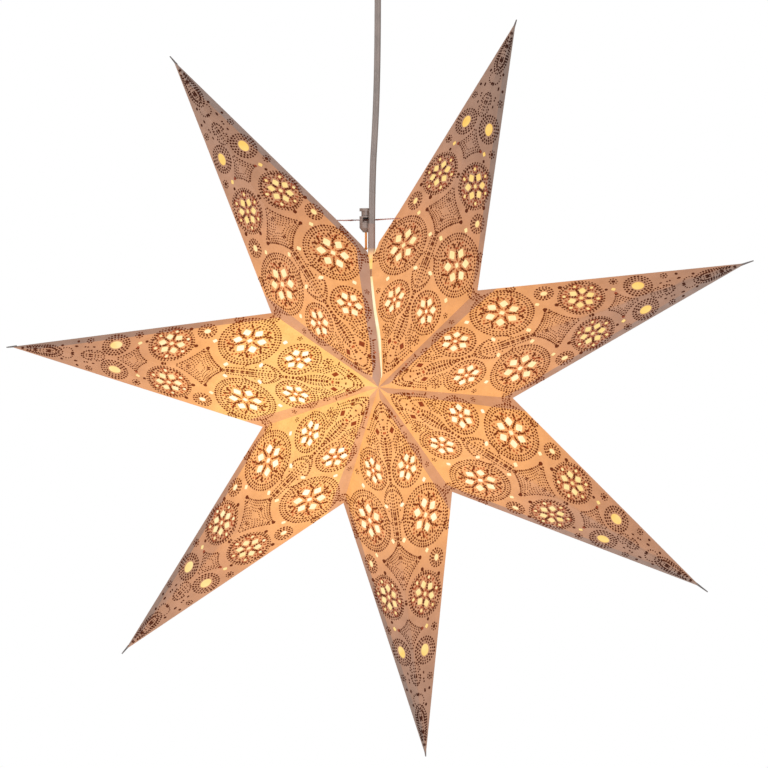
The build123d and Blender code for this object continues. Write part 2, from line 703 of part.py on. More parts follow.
# Canopy cup, open to the ceiling
with BuildPart() as canopy:
    with BuildSketch():
        Circle(CANOPY_RADIUS)
    extrude(amount=-CANOPY_HEIGHT)
    fillet(canopy.faces().sort_by(Axis.Z)[0].edges(), CANOPY_ROUND)
    offset(amount=-CANOPY_WALL, openings=canopy.faces().sort_by(Axis.Z)[-1])
    with BuildSketch(Plane((0, 0, -CANOPY_HEIGHT))):
        Circle(GRIP_RADIUS + GRIP_CLEARANCE)
    extrude(amount=2 * CANOPY_WALL, mode=Mode.SUBTRACT)
    with BuildSketch(side_plane):
        Circle(side_screw_hole)
    extrude(amount=2 * CANOPY_RADIUS, both=True, mode=Mode.SUBTRACT)
canopy.part.label = "canopy"
export_step(canopy.part, "parts/canopy.step")

with BuildPart() as canopy_screws:
    for way in (-1, 1):
        head_plane = Plane(
            (0, way * CANOPY_RADIUS, SIDE_SCREW_Z), x_dir=(1, 0, 0), z_dir=(0, way, 0)
        )
        with BuildSketch(head_plane):
            Circle(SIDE_HEAD_RADIUS)
        extrude(amount=SIDE_HEAD_HEIGHT)
        with BuildSketch(head_plane):
            Circle(SIDE_SCREW_RADIUS)
        extrude(amount=-(CANOPY_WALL + LEG_CLEARANCE + 2 * BRACKET_THICKNESS))
        with BuildSketch(head_plane.offset(SIDE_HEAD_HEIGHT)):
            Rectangle(2 * SIDE_HEAD_RADIUS, SLOT_WIDTH)
        extrude(amount=-SLOT_DEPTH, mode=Mode.SUBTRACT)
canopy_screws.part.label = "canopy_screws"
export_step(canopy_screws.part, "parts/canopy_screws.step")

# Cord grip: a nipple through the canopy with a bell mouth under it
throat = CABLE_WIDTH / 2 + THROAT_CLEARANCE
bell_foot = -CANOPY_HEIGHT - GRIP_BELL_DROP
bell_radius = throat + (CABLE_TOP - bell_foot) * tan(radians(SWING_ANGLE)) + THROAT_CLEARANCE
with BuildPart() as cord_grip:
    with BuildSketch(Plane.XZ):
        with BuildLine():
            Polyline(
                (throat, CABLE_TOP),
                (bell_radius, bell_foot),
                (GRIP_FLANGE_RADIUS, bell_foot),
                (GRIP_FLANGE_RADIUS, -CANOPY_HEIGHT),
                (GRIP_RADIUS, -CANOPY_HEIGHT),
                (GRIP_RADIUS, GRIP_TOP),
                (throat, GRIP_TOP),
                close=True,
            )
        make_face()
    revolve(axis=Axis.Z)
cord_grip.part.label = "cord_grip"
export_step(cord_grip.part, "parts/cord_grip.step")

with BuildPart() as grip_nut:
    with BuildSketch(Plane((0, 0, -CANOPY_HEIGHT + CANOPY_WALL))):
        RegularPolygon(NUT_ACROSS_FLATS / 2, 6, major_radius=False)
        Circle(GRIP_RADIUS + GRIP_CLEARANCE, mode=Mode.SUBTRACT)
    extrude(amount=NUT_HEIGHT)
grip_nut.part.label = "grip_nut"
export_step(grip_nut.part, "parts/grip_nut.step")

# Terminal block under the bracket, with the cable's tail going up into it
block_foot = -BRACKET_THICKNESS - BLOCK_HEIGHT
block_front = Plane(
    (0, -BLOCK_WIDTH / 2, block_foot + BLOCK_HEIGHT / 2), x_dir=(1, 0, 0), z_dir=(0, -1, 0)
)
with BuildPart() as terminal_block:
    with BuildSketch(Plane((0, 0, block_foot))):
        Rectangle(BLOCK_LENGTH, BLOCK_WIDTH)
    extrude(amount=BLOCK_HEIGHT)
    with BuildSketch(block_front):
        with GridLocations(BLOCK_SCREW_SPACING, 0, 2, 1):
            Circle(BLOCK_SCREW_RADIUS + SIDE_SCREW_CLEARANCE)
    extrude(amount=-BLOCK_SCREW_SINK, mode=Mode.SUBTRACT)
terminal_block.part.label = "terminal_block"
export_step(terminal_block.part, "parts/terminal_block.step")

with BuildPart() as block_screws:
    with BuildSketch(block_front.offset(-BLOCK_SCREW_SINK)):
        with GridLocations(BLOCK_SCREW_SPACING, 0, 2, 1):
            Circle(BLOCK_SCREW_RADIUS)
    extrude(amount=BLOCK_SCREW_SINK - SLOT_DEPTH)
    with BuildSketch(block_front.offset(-SLOT_DEPTH)):
        with GridLocations(BLOCK_SCREW_SPACING, 0, 2, 1):
            Rectangle(SLOT_WIDTH, 2 * BLOCK_SCREW_RADIUS)
    extrude(amount=-SLOT_DEPTH, mode=Mode.SUBTRACT)
block_screws.part.label = "block_screws"
export_step(block_screws.part, "parts/block_screws.step")

with BuildPart() as cable_tail:
    with BuildSketch(Plane((0, 0, CABLE_TOP + TAIL_GAP))):
        SlotOverall(CABLE_WIDTH, CABLE_THICKNESS)
    extrude(amount=block_foot - CABLE_TOP - TAIL_GAP)
cable_tail.part.label = "cable_tail"
export_step(cable_tail.part, "parts/cable_tail.step")
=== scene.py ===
from math import ceil, cos, hypot, pi, radians, sin

import bmesh
import bpy
from mathutils import Matrix, Vector


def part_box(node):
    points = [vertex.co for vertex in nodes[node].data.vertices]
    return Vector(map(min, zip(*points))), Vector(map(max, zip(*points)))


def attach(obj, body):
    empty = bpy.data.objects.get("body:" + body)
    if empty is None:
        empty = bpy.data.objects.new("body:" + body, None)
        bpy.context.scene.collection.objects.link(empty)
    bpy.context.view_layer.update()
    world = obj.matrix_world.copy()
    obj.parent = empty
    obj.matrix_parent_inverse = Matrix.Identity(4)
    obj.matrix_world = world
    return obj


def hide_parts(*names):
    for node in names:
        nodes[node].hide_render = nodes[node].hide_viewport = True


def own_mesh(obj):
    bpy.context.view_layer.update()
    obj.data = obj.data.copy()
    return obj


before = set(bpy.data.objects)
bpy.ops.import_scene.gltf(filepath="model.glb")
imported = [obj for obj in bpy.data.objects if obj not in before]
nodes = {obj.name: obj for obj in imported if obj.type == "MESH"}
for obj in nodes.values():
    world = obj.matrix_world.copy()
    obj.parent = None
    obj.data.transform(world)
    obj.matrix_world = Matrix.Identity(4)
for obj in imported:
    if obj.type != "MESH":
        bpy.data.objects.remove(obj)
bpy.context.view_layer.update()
scene = bpy.context.scene
scene.view_settings.view_transform = "Standard"
mm = 0.001
weldGap = 2e-6  # corners nearer than this are joined

# camera at the photograph's angle
cameraView = {"aim": (0.0049, 0.0, -0.3694), "away": 1.63, "yaw": -3.14, "pitch": 3.11, "lens": 94.95,
              "sensor": 36.0, "farthest": 60.0}


def makeCamera():
    yaw, pitch = radians(cameraView["yaw"]), radians(cameraView["pitch"])
    ahead = Vector((sin(yaw) * cos(pitch), cos(yaw) * cos(pitch), -sin(pitch)))
    data = bpy.data.cameras.new("camera")
    data.lens = cameraView["lens"]
    data.sensor_width = cameraView["sensor"]
    data.clip_end = cameraView["farthest"]
    camera = bpy.data.objects.new("camera", data)
    camera.location = Vector(cameraView["aim"]) - ahead * cameraView["away"]
    camera.rotation_euler = ahead.to_track_quat("-Z", "Y").to_euler()
    scene.collection.objects.link(camera)
    scene.camera = camera


makeCamera()
print("camera placed")


def clamp(value):
    return min(max(value, 0.0), 1.0)


def around(count, shift=0.0):
    # even turns round a ring
    return [2 * pi * (step + shift) / count for step in range(count)]


def onRing(along, across, radius, turn):
    return along + radius * cos(turn), across + radius * sin(turn)


# pieces and materials
def toMesh(name, bm):
    mesh = bpy.data.meshes.new(name)
    bm.to_mesh(mesh)
    bm.free()
    return mesh


def keepPiece(name, bm, body, materials, stands=()):
    mesh = toMesh(name, bm)
    piece = bpy.data.objects.new(name, mesh)
    scene.collection.objects.link(piece)
    for material in materials:
        mesh.materials.append(material)
    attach(piece, body)
    if stands:
        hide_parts(*stands)
    return piece


def addNode(beside, kind, settings=(), **inputs):
    # a new node in the tree of another node or socket
    node = beside.id_data.nodes.new(kind)
    for key, value in dict(settings).items():
        setattr(node, key, value)
    for key, value in inputs.items():
        node.inputs[key].default_value = value
    return node


def tie(source, target):
    target.id_data.links.new(source, target)


def startMaterial(name, sockets=()):
    material = bpy.data.materials.new(name)
    material.use_nodes = True
    shader = material.node_tree.nodes["Principled BSDF"]
    for key, value in dict(sockets).items():
        shader.inputs[key].default_value = value
    return material, shader


def noiseNode(beside, size, detail=4.0):
    # clouds about `size` metres across, fixed to the piece
    place = addNode(beside, "ShaderNodeTexCoord")
    noise = addNode(beside, "ShaderNodeTexNoise", Scale=1.0 / size, Detail=detail)
    tie(place.outputs["Object"], noise.inputs["Vector"])
    return noise.outputs["Fac"]


def rampNode(source, stops):
    ramp = addNode(source, "ShaderNodeValToRGB")
    points = ramp.color_ramp.elements
    while len(points) < len(stops):
        points.new(0.5)
    for point, (place, colour) in zip(points, stops):
        point.position = place
        point.color = (*colour, 1.0)
    tie(source, ramp.inputs["Fac"])
    return ramp.outputs["Color"]


black = (0.0, 0.0, 0.0)
wholeSpan = (0.0, 1.0)
noiseSpan = (0.3, 0.7)  # nearly all of a noise's values lie between these
finishSpan = (0.35, 0.65)


def toneNode(source, dark, pale, span=noiseSpan):
    return rampNode(source, ((span[0], dark), (span[1], pale)))


def rangeNode(source, low, high, span=noiseSpan):
    spread = addNode(source, "ShaderNodeMapRange")
    for socket, value in zip(("From Min", "From Max", "To Min", "To Max"), (*span, low, high)):
        spread.inputs[socket].default_value = value
    tie(source, spread.inputs["Value"])
    return spread.outputs["Result"]


def bumpNode(source, shader, depth):
    bump = addNode(source, "ShaderNodeBump", Strength=1.0, Distance=depth)
    tie(source, bump.inputs["Height"])
    tie(bump.outputs["Normal"], shader.inputs["Normal"])


# plain finishes: dark and pale tone, size of their clouds, size and depth of the grain, spread of roughness
finishes = {
    # painted shade: the white cable is given the dark grey-taupe it shows in shade
    "cableSheathShaded": ((0.125, 0.098, 0.086), (0.17, 0.132, 0.117), 0.02, 0.0006, 0.00004, (0.38, 0.52)),
    "cableSleeve": ((0.165, 0.105, 0.084), (0.22, 0.144, 0.115), 0.012, 0.0005, 0.00003, (0.42, 0.58)),
    "lockPlastic": ((0.155, 0.11, 0.092), (0.205, 0.148, 0.124), 0.006, 0.0004, 0.00003, (0.4, 0.55)),
    # painted shade: a near-black tone for the shadowed inside of the lock's window
    "lockWindowShade": ((0.012, 0.006, 0.004), (0.022, 0.011, 0.008), 0.003, 0.0004, 0.00003, (0.6, 0.8)),
    "tieTwine": ((0.27, 0.085, 0.055), (0.4, 0.145, 0.1), 0.002, 0.0003, 0.00008, (0.75, 0.9)),
    # painted light: the string's tail, tinted orange and glowing as if lit by the lamp inside the star
    "lampLitTwine": ((0.42, 0.16, 0.02), (0.56, 0.24, 0.035), 0.002, 0.0003, 0.00008, (0.75, 0.9)),
    "spurPaper": ((0.06, 0.05, 0.047), (0.095, 0.08, 0.075), 0.002, 0.0004, 0.00006, (0.75, 0.9)),
    "holderPlastic": ((0.74, 0.71, 0.65), (0.82, 0.79, 0.73), 0.015, 0.0005, 0.00003, (0.35, 0.5)),
    "holderCeramic": ((0.76, 0.74, 0.69), (0.84, 0.82, 0.78), 0.008, 0.002, 0.00004, (0.1, 0.22)),
    "contactBrass": ((0.62, 0.42, 0.15), (0.76, 0.56, 0.24), 0.004, 0.0004, 0.00002, (0.22, 0.38)),
    "leadInsulation": ((0.2, 0.16, 0.3), (0.26, 0.21, 0.36), 0.004, 0.0004, 0.00002, (0.4, 0.55)),
    "bulbMetal": ((0.58, 0.57, 0.54), (0.72, 0.71, 0.68), 0.005, 0.0004, 0.00002, (0.2, 0.36)),
    "bulbSolder": ((0.42, 0.42, 0.42), (0.58, 0.58, 0.57), 0.001, 0.0005, 0.00008, (0.35, 0.55)),
    "bulbInsulation": ((0.02, 0.02, 0.024), (0.05, 0.05, 0.055), 0.003, 0.001, 0.00003, (0.12, 0.25)),
    "bracketSteel": ((0.5, 0.51, 0.52), (0.66, 0.66, 0.65), 0.004, 0.0008, 0.00003, (0.28, 0.45)),
    "canopyPaint": ((0.74, 0.72, 0.68), (0.8, 0.785, 0.75), 0.03, 0.0012, 0.00003, (0.32, 0.44)),
    "bulbGlass": ((0.46, 0.38, 0.26), (0.52, 0.44, 0.31), 0.02, 0.002, 0.00002, (0.18, 0.3)),
    "stemGlass": ((0.72, 0.74, 0.73), (0.8, 0.82, 0.81), 0.004, 0.001, 0.00002, (0.08, 0.16)),
    "filamentWire": ((0.5, 0.42, 0.3), (0.66, 0.56, 0.42), 0.002, 0.0004, 0.00002, (0.3, 0.45)),
    "gripPlastic": ((0.7, 0.68, 0.64), (0.77, 0.75, 0.71), 0.01, 0.0005, 0.00003, (0.4, 0.55))}
metals = ("contactBrass", "bulbMetal", "bulbSolder", "bracketSteel")
# emission of the bulb's own glass and filaments, and painted lamp light on the string's tail
litFinishes = {"lampLitTwine": (0.2, 0.06, 0.006), "bulbGlass": (0.5, 0.33, 0.13),
               "filamentWire": (1.0, 0.7, 0.35)}


def plainFinish(name):
    dark, pale, patch, grain, depth, rough = finishes[name]
    material, shader = startMaterial(name, {"Metallic": float(name in metals)})
    clouds = noiseNode(shader, patch)
    tie(toneNode(clouds, dark, pale, finishSpan), shader.inputs["Base Color"])
    tie(rangeNode(clouds, *rough), shader.inputs["Roughness"])
    bumpNode(noiseNode(shader, grain), shader, depth)
    if name in litFinishes:
        shader.inputs["Emission Color"].default_value = (*litFinishes[name], 1.0)
        shader.inputs["Emission Strength"].default_value = 1.0
    return material


finish = {name: plainFinish(name) for name in finishes}
sleeveLight = {"top": -0.2600, "foot": -0.2665, "colour": (0.85, 0.42, 0.09)}


def lightSleeve():
    # painted light: below the notch the sleeve glows orange, as where the lamp inside shines on it
    material = finish["cableSleeve"]
    shader = material.node_tree.nodes["Principled BSDF"]
    shader.inputs["Emission Strength"].default_value = 1.0
    place = addNode(shader, "ShaderNodeTexCoord")
    split = addNode(shader, "ShaderNodeSeparateXYZ")
    tie(place.outputs["Object"], split.inputs["Vector"])
    share = rangeNode(split.outputs["Z"], *wholeSpan, (sleeveLight["top"], sleeveLight["foot"]))
    lit = toneNode(share, black, sleeveLight["colour"], wholeSpan)
    tie(lit, shader.inputs["Emission Color"])


lightSleeve()

# the glued flaps of a point, in millimetres on its sheet, and how much light each one holds back
flaps = {"rim": 6.5, "rimRise": 80.0, "valleyStart": 9.0, "valleySlope": 0.54, "valleyPale": 0.45,
         "seamDim": 0.66, "seamPale": 0.8,
         "rimDim": {1: 0.75, 2: 0.72, 3: 0.61, 4: 0.61, 5: 0.68, 6: 0.66, 7: 0.67},
         "rimLeast": {1: 1.03, 2: 0.45, 3: 0.85, 4: 0.87, 5: 0.7, 6: 0.6, 7: 0.65},
         "rimPale": {1: 0.45, 2: 0.1, 3: 0.3, 4: 0.25, 5: 0.0, 6: 0.0, 7: 0.0},
         "valleyDim": {1: 0.4, 2: 0.0, 3: 0.48, 4: 0.46, 5: 0.42, 6: 0.38, 7: 0.36}}

# painted light: the lamp's glow through the paper, whose brightness falls with the distance from the bulb
glow = {"lamp": (-0.00505, 0.0, -0.3746), "least": 0.115, "span": 0.72, "reach": 0.172, "fall": 3.6,
        "upShade": 0.10, "inner": 0.08, "outer": 0.285, "swell": 0.085, "swellAt": 0.13,
        "swellOver": 0.06,
        "roots": {1: (0.965, 0.985), 2: (0.94, 0.905), 3: (0.955, 0.975), 4: (0.995, 1.005), 5: (0.97, 0.975),
                  6: (1.075, 1.135), 7: (1.22, 1.25)},
        "tips": {1: (0.53, 0.55), 2: (0.44, 0.3), 3: (1.1, 0.46), 4: (1.02, 0.51), 5: (0.66, 0.35),
                 6: (1.02, 0.58), 7: (1.2, 1.1)}}
glowColours = (
    (0.0, (0.0, 0.0, 0.0)), (0.2, (0.205, 0.064, 0.008)), (0.45, (0.455, 0.142, 0.004)),
    (0.7, (0.71, 0.26, 0.016)), (0.84, (0.81, 0.335, 0.028)), (0.93, (0.83, 0.42, 0.042)),
    (1.0, (0.85, 0.47, 0.062)))
tissueColours = (
    (0.0, (0.3, 0.13, 0.01)), (0.2, (0.86, 0.48, 0.07)), (0.28, (0.92, 0.58, 0.13)),
    (0.42, (0.93, 0.69, 0.26)), (0.62, (0.93, 0.83, 0.46)), (0.74, (0.95, 0.9, 0.6)),
    (0.9, (0.96, 0.94, 0.82)))


def glowAt(place, number, behind=False):
    # a point's two halves differ a little, the counter-clockwise one first
    # behind the paper a point is lit evenly
    way = place - Vector(glow["lamp"])
    angle = pointAngle(number)
    clockwise = (place.x - centre.x) * sin(angle) > (place.z - centre.z) * cos(angle)
    radius = hypot(place.x - centre.x, place.z - centre.z)
    outward = (radius - glow["inner"]) / (glow["outer"] - glow["inner"])
    outward = 0.0 if behind else clamp(outward)
    share = glow["roots"][number][clockwise] * (1 - outward) + glow["tips"][number][clockwise] * outward
    share *= 1.0 - glow["upShade"] * max(way.z / way.length, 0.0)
    if not behind:
        share *= 1.0 + glow["swell"] * max(1.0 - abs(radius - glow["swellAt"]) / glow["swellOver"], 0.0)
    return share * (glow["least"] + glow["span"] / (1.0 + (way.length / glow["reach"]) ** glow["fall"]))


def attributeNode(beside, name):
    return addNode(beside, "ShaderNodeAttribute", {"attribute_name": name}).outputs["Fac"]


def mathNode(operation, first, second):
    node = addNode(second, "ShaderNodeMath", {"operation": operation})
    for value, socket in zip((first, second), node.inputs):
        if isinstance(value, (int, float)):
            socket.default_value = value
        else:
            tie(value, socket)
    return node.outputs["Value"]


# noises as size and detail
paperStock = {"rough": 0.85, "gloss": 0.25, "fibre": (0.0016, 8.0), "pulp": (0.011, 6.0),
              "tones": ((0.172, 0.127, 0.108), (0.217, 0.157, 0.131)),
              "paleTones": ((0.225, 0.178, 0.163), (0.275, 0.22, 0.204)),
              "fibreLight": (0.93, 1.07), "pulpLight": (0.95, 1.05), "relief": 0.00006}
tissueStock = {"rough": 0.9, "gloss": 0.2, "crinkle": (0.009, 6.0), "light": (0.88, 1.12),
               "tones": ((0.07, 0.055, 0.03), (0.1, 0.08, 0.05)), "relief": 0.0003}
inkStock = {"rough": 0.8, "gloss": 0.1, "speck": (0.0012, 3.0), "light": (0.8, 1.2)}
inks = {  # dark, pale, and lit through
    "inkBrown": ((0.012, 0.004, 0.002), (0.025, 0.008, 0.005), (0.25, 0.038, 0.0)),
    "inkRed": ((0.1, 0.02, 0.016), (0.14, 0.03, 0.022), (0.55, 0.11, 0.01)),
    "inkOxide": ((0.05, 0.011, 0.009), (0.08, 0.018, 0.014), (0.3, 0.05, 0.0))}


def litMaterial(name, stock):
    return startMaterial(name, {"Roughness": stock["rough"], "Specular IOR Level": stock["gloss"],
                                "Emission Strength": 1.0})


def makePaper():
    # uncoated paper with painted light shining through, dimmer where a glued flap doubles it
    material, shader = litMaterial("starPaper", paperStock)
    flap = attributeNode(shader, "flap")
    fibre = noiseNode(shader, *paperStock["fibre"])
    pulp = noiseNode(shader, *paperStock["pulp"])
    layers = addNode(shader, "ShaderNodeMix", {"data_type": "RGBA"})
    tie(attributeNode(shader, "pale"), layers.inputs["Factor"])
    tie(toneNode(pulp, *paperStock["tones"]), layers.inputs["A"])
    tie(toneNode(pulp, *paperStock["paleTones"]), layers.inputs["B"])
    tie(layers.outputs["Result"], shader.inputs["Base Color"])
    cloud = mathNode("MULTIPLY", rangeNode(fibre, *paperStock["fibreLight"]),
                     rangeNode(pulp, *paperStock["pulpLight"]))
    through = mathNode("MULTIPLY", attributeNode(shader, "glow"), cloud)
    through = mathNode("MULTIPLY", through, mathNode("SUBTRACT", 1.0, flap))
    tie(rampNode(through, glowColours), shader.inputs["Emission Color"])
    bumpNode(fibre, shader, paperStock["relief"])
    return material


def makeTissue():
    material, shader = litMaterial("starTissue", tissueStock)
    crinkle = noiseNode(shader, *tissueStock["crinkle"])
    through = mathNode("MULTIPLY", attributeNode(shader, "glow"),
                       rangeNode(crinkle, *tissueStock["light"]))
    tie(rampNode(through, tissueColours), shader.inputs["Emission Color"])
    tie(toneNode(crinkle, *tissueStock["tones"]), shader.inputs["Base Color"])
    bumpNode(crinkle, shader, tissueStock["relief"])
    return material


def makeInk(name, dark, pale, lit):
    # printed ink: the lamp shows through it only a little
    material, shader = litMaterial(name, inkStock)
    speck = noiseNode(shader, *inkStock["speck"])
    tie(toneNode(speck, dark, pale), shader.inputs["Base Color"])
    through = mathNode("MULTIPLY", attributeNode(shader, "glow"),
                       rangeNode(speck, *inkStock["light"]))
    tie(toneNode(through, black, lit, wholeSpan), shader.inputs["Emission Color"])
    return material


starPaper = makePaper()
starTissue = makeTissue()
starInks = [makeInk(name, *tones) for name, tones in inks.items()]
brown, red, oxide = range(len(starInks))
print("materials made:", len(finish) + len(starInks) + 2)

# the flat lamp cable, on the same route as its solid
cable = {"route": ((0.0, -0.038), (0.0, -0.096), (-0.0015, -0.154), (-0.005052, -0.212),
                   (-0.005052, -0.29622)),
         "width": 5.2 * mm, "thickness": 3.2 * mm, "groove": 0.45 * mm, "grooveReach": 0.62, "sides": 40,
         "steps": 12, "length": 0.2583}


def routeLine(name, points, resolution):
    # the route's smooth line, as points read from its spline
    curve = bpy.data.curves.new(name, "CURVE")
    curve.dimensions = "3D"
    curve.resolution_u = resolution
    spline = curve.splines.new("NURBS")
    spline.points.add(len(points) - 1)
    for point, place in zip(spline.points, points):
        point.co = (*place, 1.0)
    spline.order_u = 3
    spline.use_endpoint_u = True
    holder = bpy.data.objects.new(name, curve)
    mesh = bpy.data.meshes.new_from_object(holder)
    line = [vert.co.copy() for vert in mesh.vertices]
    bpy.data.objects.remove(holder)
    bpy.data.curves.remove(curve)
    bpy.data.meshes.remove(mesh)
    return line


def extrudeAlong(bm, line, across, shape, twist=0.0):
    # a closed section, its first axis along `across`, drawn along the line and twisted as it goes
    ring = None
    for index, place in enumerate(line):
        ahead = (line[min(index + 1, len(line) - 1)] - line[max(index - 1, 0)]).normalized()
        side = (across - ahead * across.dot(ahead)).normalized()
        side.rotate(Matrix.Rotation(twist * index / len(line), 3, ahead))
        depth = ahead.cross(side)
        spots = [place + side * x + depth * y for x, y in shape]
        if ring is None:
            ring = [bm.verts.new(spot) for spot in spots]
            for a, b in zip(ring, ring[1:] + ring[:1]):
                bm.edges.new((a, b))
            bmesh.ops.contextual_create(bm, geom=ring)
        else:
            edges = [bm.edges.get((a, b)) for a, b in zip(ring, ring[1:] + ring[:1])]
            fresh = bmesh.ops.extrude_edge_only(bm, edges=edges)["geom"]
            following = {}
            for old in ring:
                for edge in old.link_edges:
                    other = edge.other_vert(old)
                    if other in ring or other not in fresh:
                        continue
                    following[old] = other
            ring = [following[old] for old in ring]
            for vert, spot in zip(ring, spots):
                vert.co = spot
    bmesh.ops.contextual_create(bm, geom=ring)
    bmesh.ops.recalc_face_normals(bm, faces=bm.faces[:])


def twinSection():
    # two round cores side by side, with a groove between them
    shape = []
    core = cable["thickness"] / 2
    offset = cable["width"] / 2 - core
    for turn in around(cable["sides"]):
        x = offset * cos(turn) + core * cos(turn)
        edge = core if abs(x) < offset else (core ** 2 - (abs(x) - offset) ** 2) ** 0.5
        dip = cable["groove"] * max(0.0, 1.0 - (x / (cable["grooveReach"] * offset)) ** 2)
        shape.append((x, (edge - dip) * (1 if sin(turn) >= 0 else -1)))
    return shape


def makeCable():
    line = routeLine("cableRoute", [(x, 0.0, z) for x, z in cable["route"]], cable["steps"])
    bm = bmesh.new()
    extrudeAlong(bm, line, Vector((1, 0, 0)), twinSection())
    piece = keepPiece("flatCable", bm, "cord", [finish["cableSheathShaded"]], ["cable"])
    for face in piece.data.polygons:
        face.use_smooth = True


makeCable()
print("cable made")

# the star's sheet, one half face in its own flat coordinates, in millimetres along the ridge and across it
star = {"centre": (0.0045, 0.0, -0.368), "tip": 305.0, "notch": 104.7, "halfDepth": 72.2, "seam": 96.5,
        "seamGap": 2.0, "count": 7, "paper": 0.45, "tissue": 0.15, "tissueInset": 1.0, "tissueGap": 0.04,
        "grid": 9.0, "keep": 0.08}
# a sheet's slight waves: their height, their lengths, and how they shift from face to face
bulge = {"height": 0.55, "level": 0.55, "along": 71.0, "across": 53.0, "shifts": (0.37, 0.21),
         "perFace": 0.31, "edgeFade": 14.0}
cutOuts = {  # along, across, a ring's radius, length and breadth, and a rosette's heart
    "rosettes": ((71.5, 19.9, 7.7, 6.9, 6.1, 3.6), (116.6, 33.5, 10.2, 8.5, 7.5, 5.0),
                 (179.8, 21.9, 7.9, 7.2, 6.4, 4.0)),
    "beads": (179.8, 21.9, 13.6, 3.6, 3.2),
    "diamonds": ((87.5, 36.2, 4.7, 4.7), (99.5, 9.4, 4.0, 5.8), (128.3, 6.7, 4.8, 4.8),
                 (145.3, 30.1, 4.6, 4.6), (206.3, 18.9, 4.4, 4.4)),
    "ovals": ((154.9, 39.4, 5.5, 4.7), (225.5, 14.2, 10.2, 9.0)),
    "petals": 6, "corners": 8, "ovalCorners": 20, "bulge": 0.78}

# how far each tip, and each notch clockwise of its point, strays from the even star, along X and Z
strays = {"tips": {1: (-2.4, 2.5), 2: (0.6, 0.5), 3: (-0.1, -2.6), 4: (-3.0, -0.2), 5: (-0.2, -0.8),
                   6: (3.3, -2.2), 7: (0.7, -2.8)},
          "notches": {1: (2.7, 0.8), 2: (0.6, 0.7), 3: (-0.1, 0.0), 4: (-0.2, 0.5), 5: (1.8, 1.1),
                      6: (0.7, -0.9), 7: (-1.0, 1.1)}}
# how the two edges of the seam bow sideways, from the apex out to the notch
seamBow = {1: ((0.0, 1.0), (0.08, 2.8), (0.2, 2.4), (0.37, 1.6), (0.57, 0.0), (0.71, -0.6), (1.0, -1.2)),
           2: ((0.0, 1.5), (0.08, 3.2), (0.2, 3.2), (0.37, 3.0), (0.57, 0.0), (0.71, -1.4), (0.82, -2.2),
               (1.0, -1.5))}
seamFade = 28.0
seamGuard = 0.01  # keeps the share of a bow finite at the apex

seamLeft, seamRight = 1, 2  # the points beside the seam
fixedPoint, leadPoint = 5, 4  # star_fold turns the second against the first
centre = Vector(star["centre"])
pitch = (360.0 - star["seamGap"]) / star["count"]
halfPoint = radians(pitch / 2)
ridgeLength = hypot(star["tip"], star["halfDepth"])


def pointAngle(number):
    steps = number - 1.5 if number > 1 else star["count"] - 0.5
    return radians(star["seam"] - star["seamGap"] / 2 - pitch * steps)


def faceAxes(side, turn):
    # apex, ridge direction, direction across and outward normal of one face of a point along +X
    apex = Vector((0, side * star["halfDepth"], 0))
    ridge = (Vector((star["tip"], 0, 0)) - apex).normalized()
    notch = Vector((star["notch"] * cos(halfPoint), 0, turn * star["notch"] * sin(halfPoint))) - apex
    across = (notch - ridge * notch.dot(ridge)).normalized()
    normal = ridge.cross(across)
    if normal.y * side < 0:
        normal = -normal
    return apex, ridge, across, normal, (notch.dot(ridge), notch.dot(across))


notchAlong, notchAcross = faceAxes(-1, 1)[4]


def turnedTo(number):
    return Matrix.Translation(centre) @ Matrix.Rotation(-pointAngle(number), 4, "Y") @ Matrix.Scale(mm, 4)


def faceMatrix(number, side, turn):
    apex, ridge, across, normal = faceAxes(side, turn)[:4]
    frameOfFace = Matrix((ridge, across, normal)).transposed().to_4x4()
    frameOfFace.translation = apex
    return turnedTo(number) @ frameOfFace


def edgeDistances(along, across):
    # from the ridge, the valley and the rim of a half face
    valley = (along * notchAcross - across * notchAlong) / hypot(notchAlong, notchAcross)
    run = ridgeLength - notchAlong
    rim = ((ridgeLength - along) * notchAcross - across * run) / hypot(run, notchAcross)
    return across, valley, rim


def wave(along, across, seed):
    # a sheet's slight bulge between its creases
    fade = clamp(min(edgeDistances(along, across)) / bulge["edgeFade"])
    fade = fade * fade * (3 - 2 * fade)
    alongShift, acrossShift = bulge["shifts"]
    alongTurn = 2 * pi * (along / bulge["along"] + alongShift * seed)
    acrossTurn = 2 * pi * (across / bulge["across"] + acrossShift * seed)
    return bulge["height"] * fade * (bulge["level"] + sin(alongTurn) * cos(acrossTurn))


def loopPlace(along, across, length, breadth, turn=0.0):
    return (Matrix.Translation((along, across, 0)) @ Matrix.Rotation(turn, 4, "Z")
            @ Matrix.Diagonal((length / 2, breadth / 2, 1, 1)))


def cutLoops():
    # place of each cut-out, and the number of corners in its outline
    cornered = []
    count = cutOuts["petals"]
    for along, across, ring, length, breadth, heart in cutOuts["rosettes"]:
        cornered.append(loopPlace(along, across, heart, heart))
        for turn in around(count):
            cornered.append(loopPlace(*onRing(along, across, ring, turn), length, breadth, turn))
    along, across, ring, length, breadth = cutOuts["beads"]
    for turn in around(count, 0.5):
        cornered.append(loopPlace(*onRing(along, across, ring, turn), length, breadth, turn))
    cornered += [loopPlace(*diamond) for diamond in cutOuts["diamonds"]]
    loops = [(place, cutOuts["corners"]) for place in cornered]
    return loops + [(loopPlace(*oval), cutOuts["ovalCorners"]) for oval in cutOuts["ovals"]]


cutTolerance = 1e-4


def divide(bm, place, normal):
    bmesh.ops.bisect_plane(bm, geom=bm.verts[:] + bm.edges[:] + bm.faces[:], dist=cutTolerance,
                           plane_co=place, plane_no=normal)


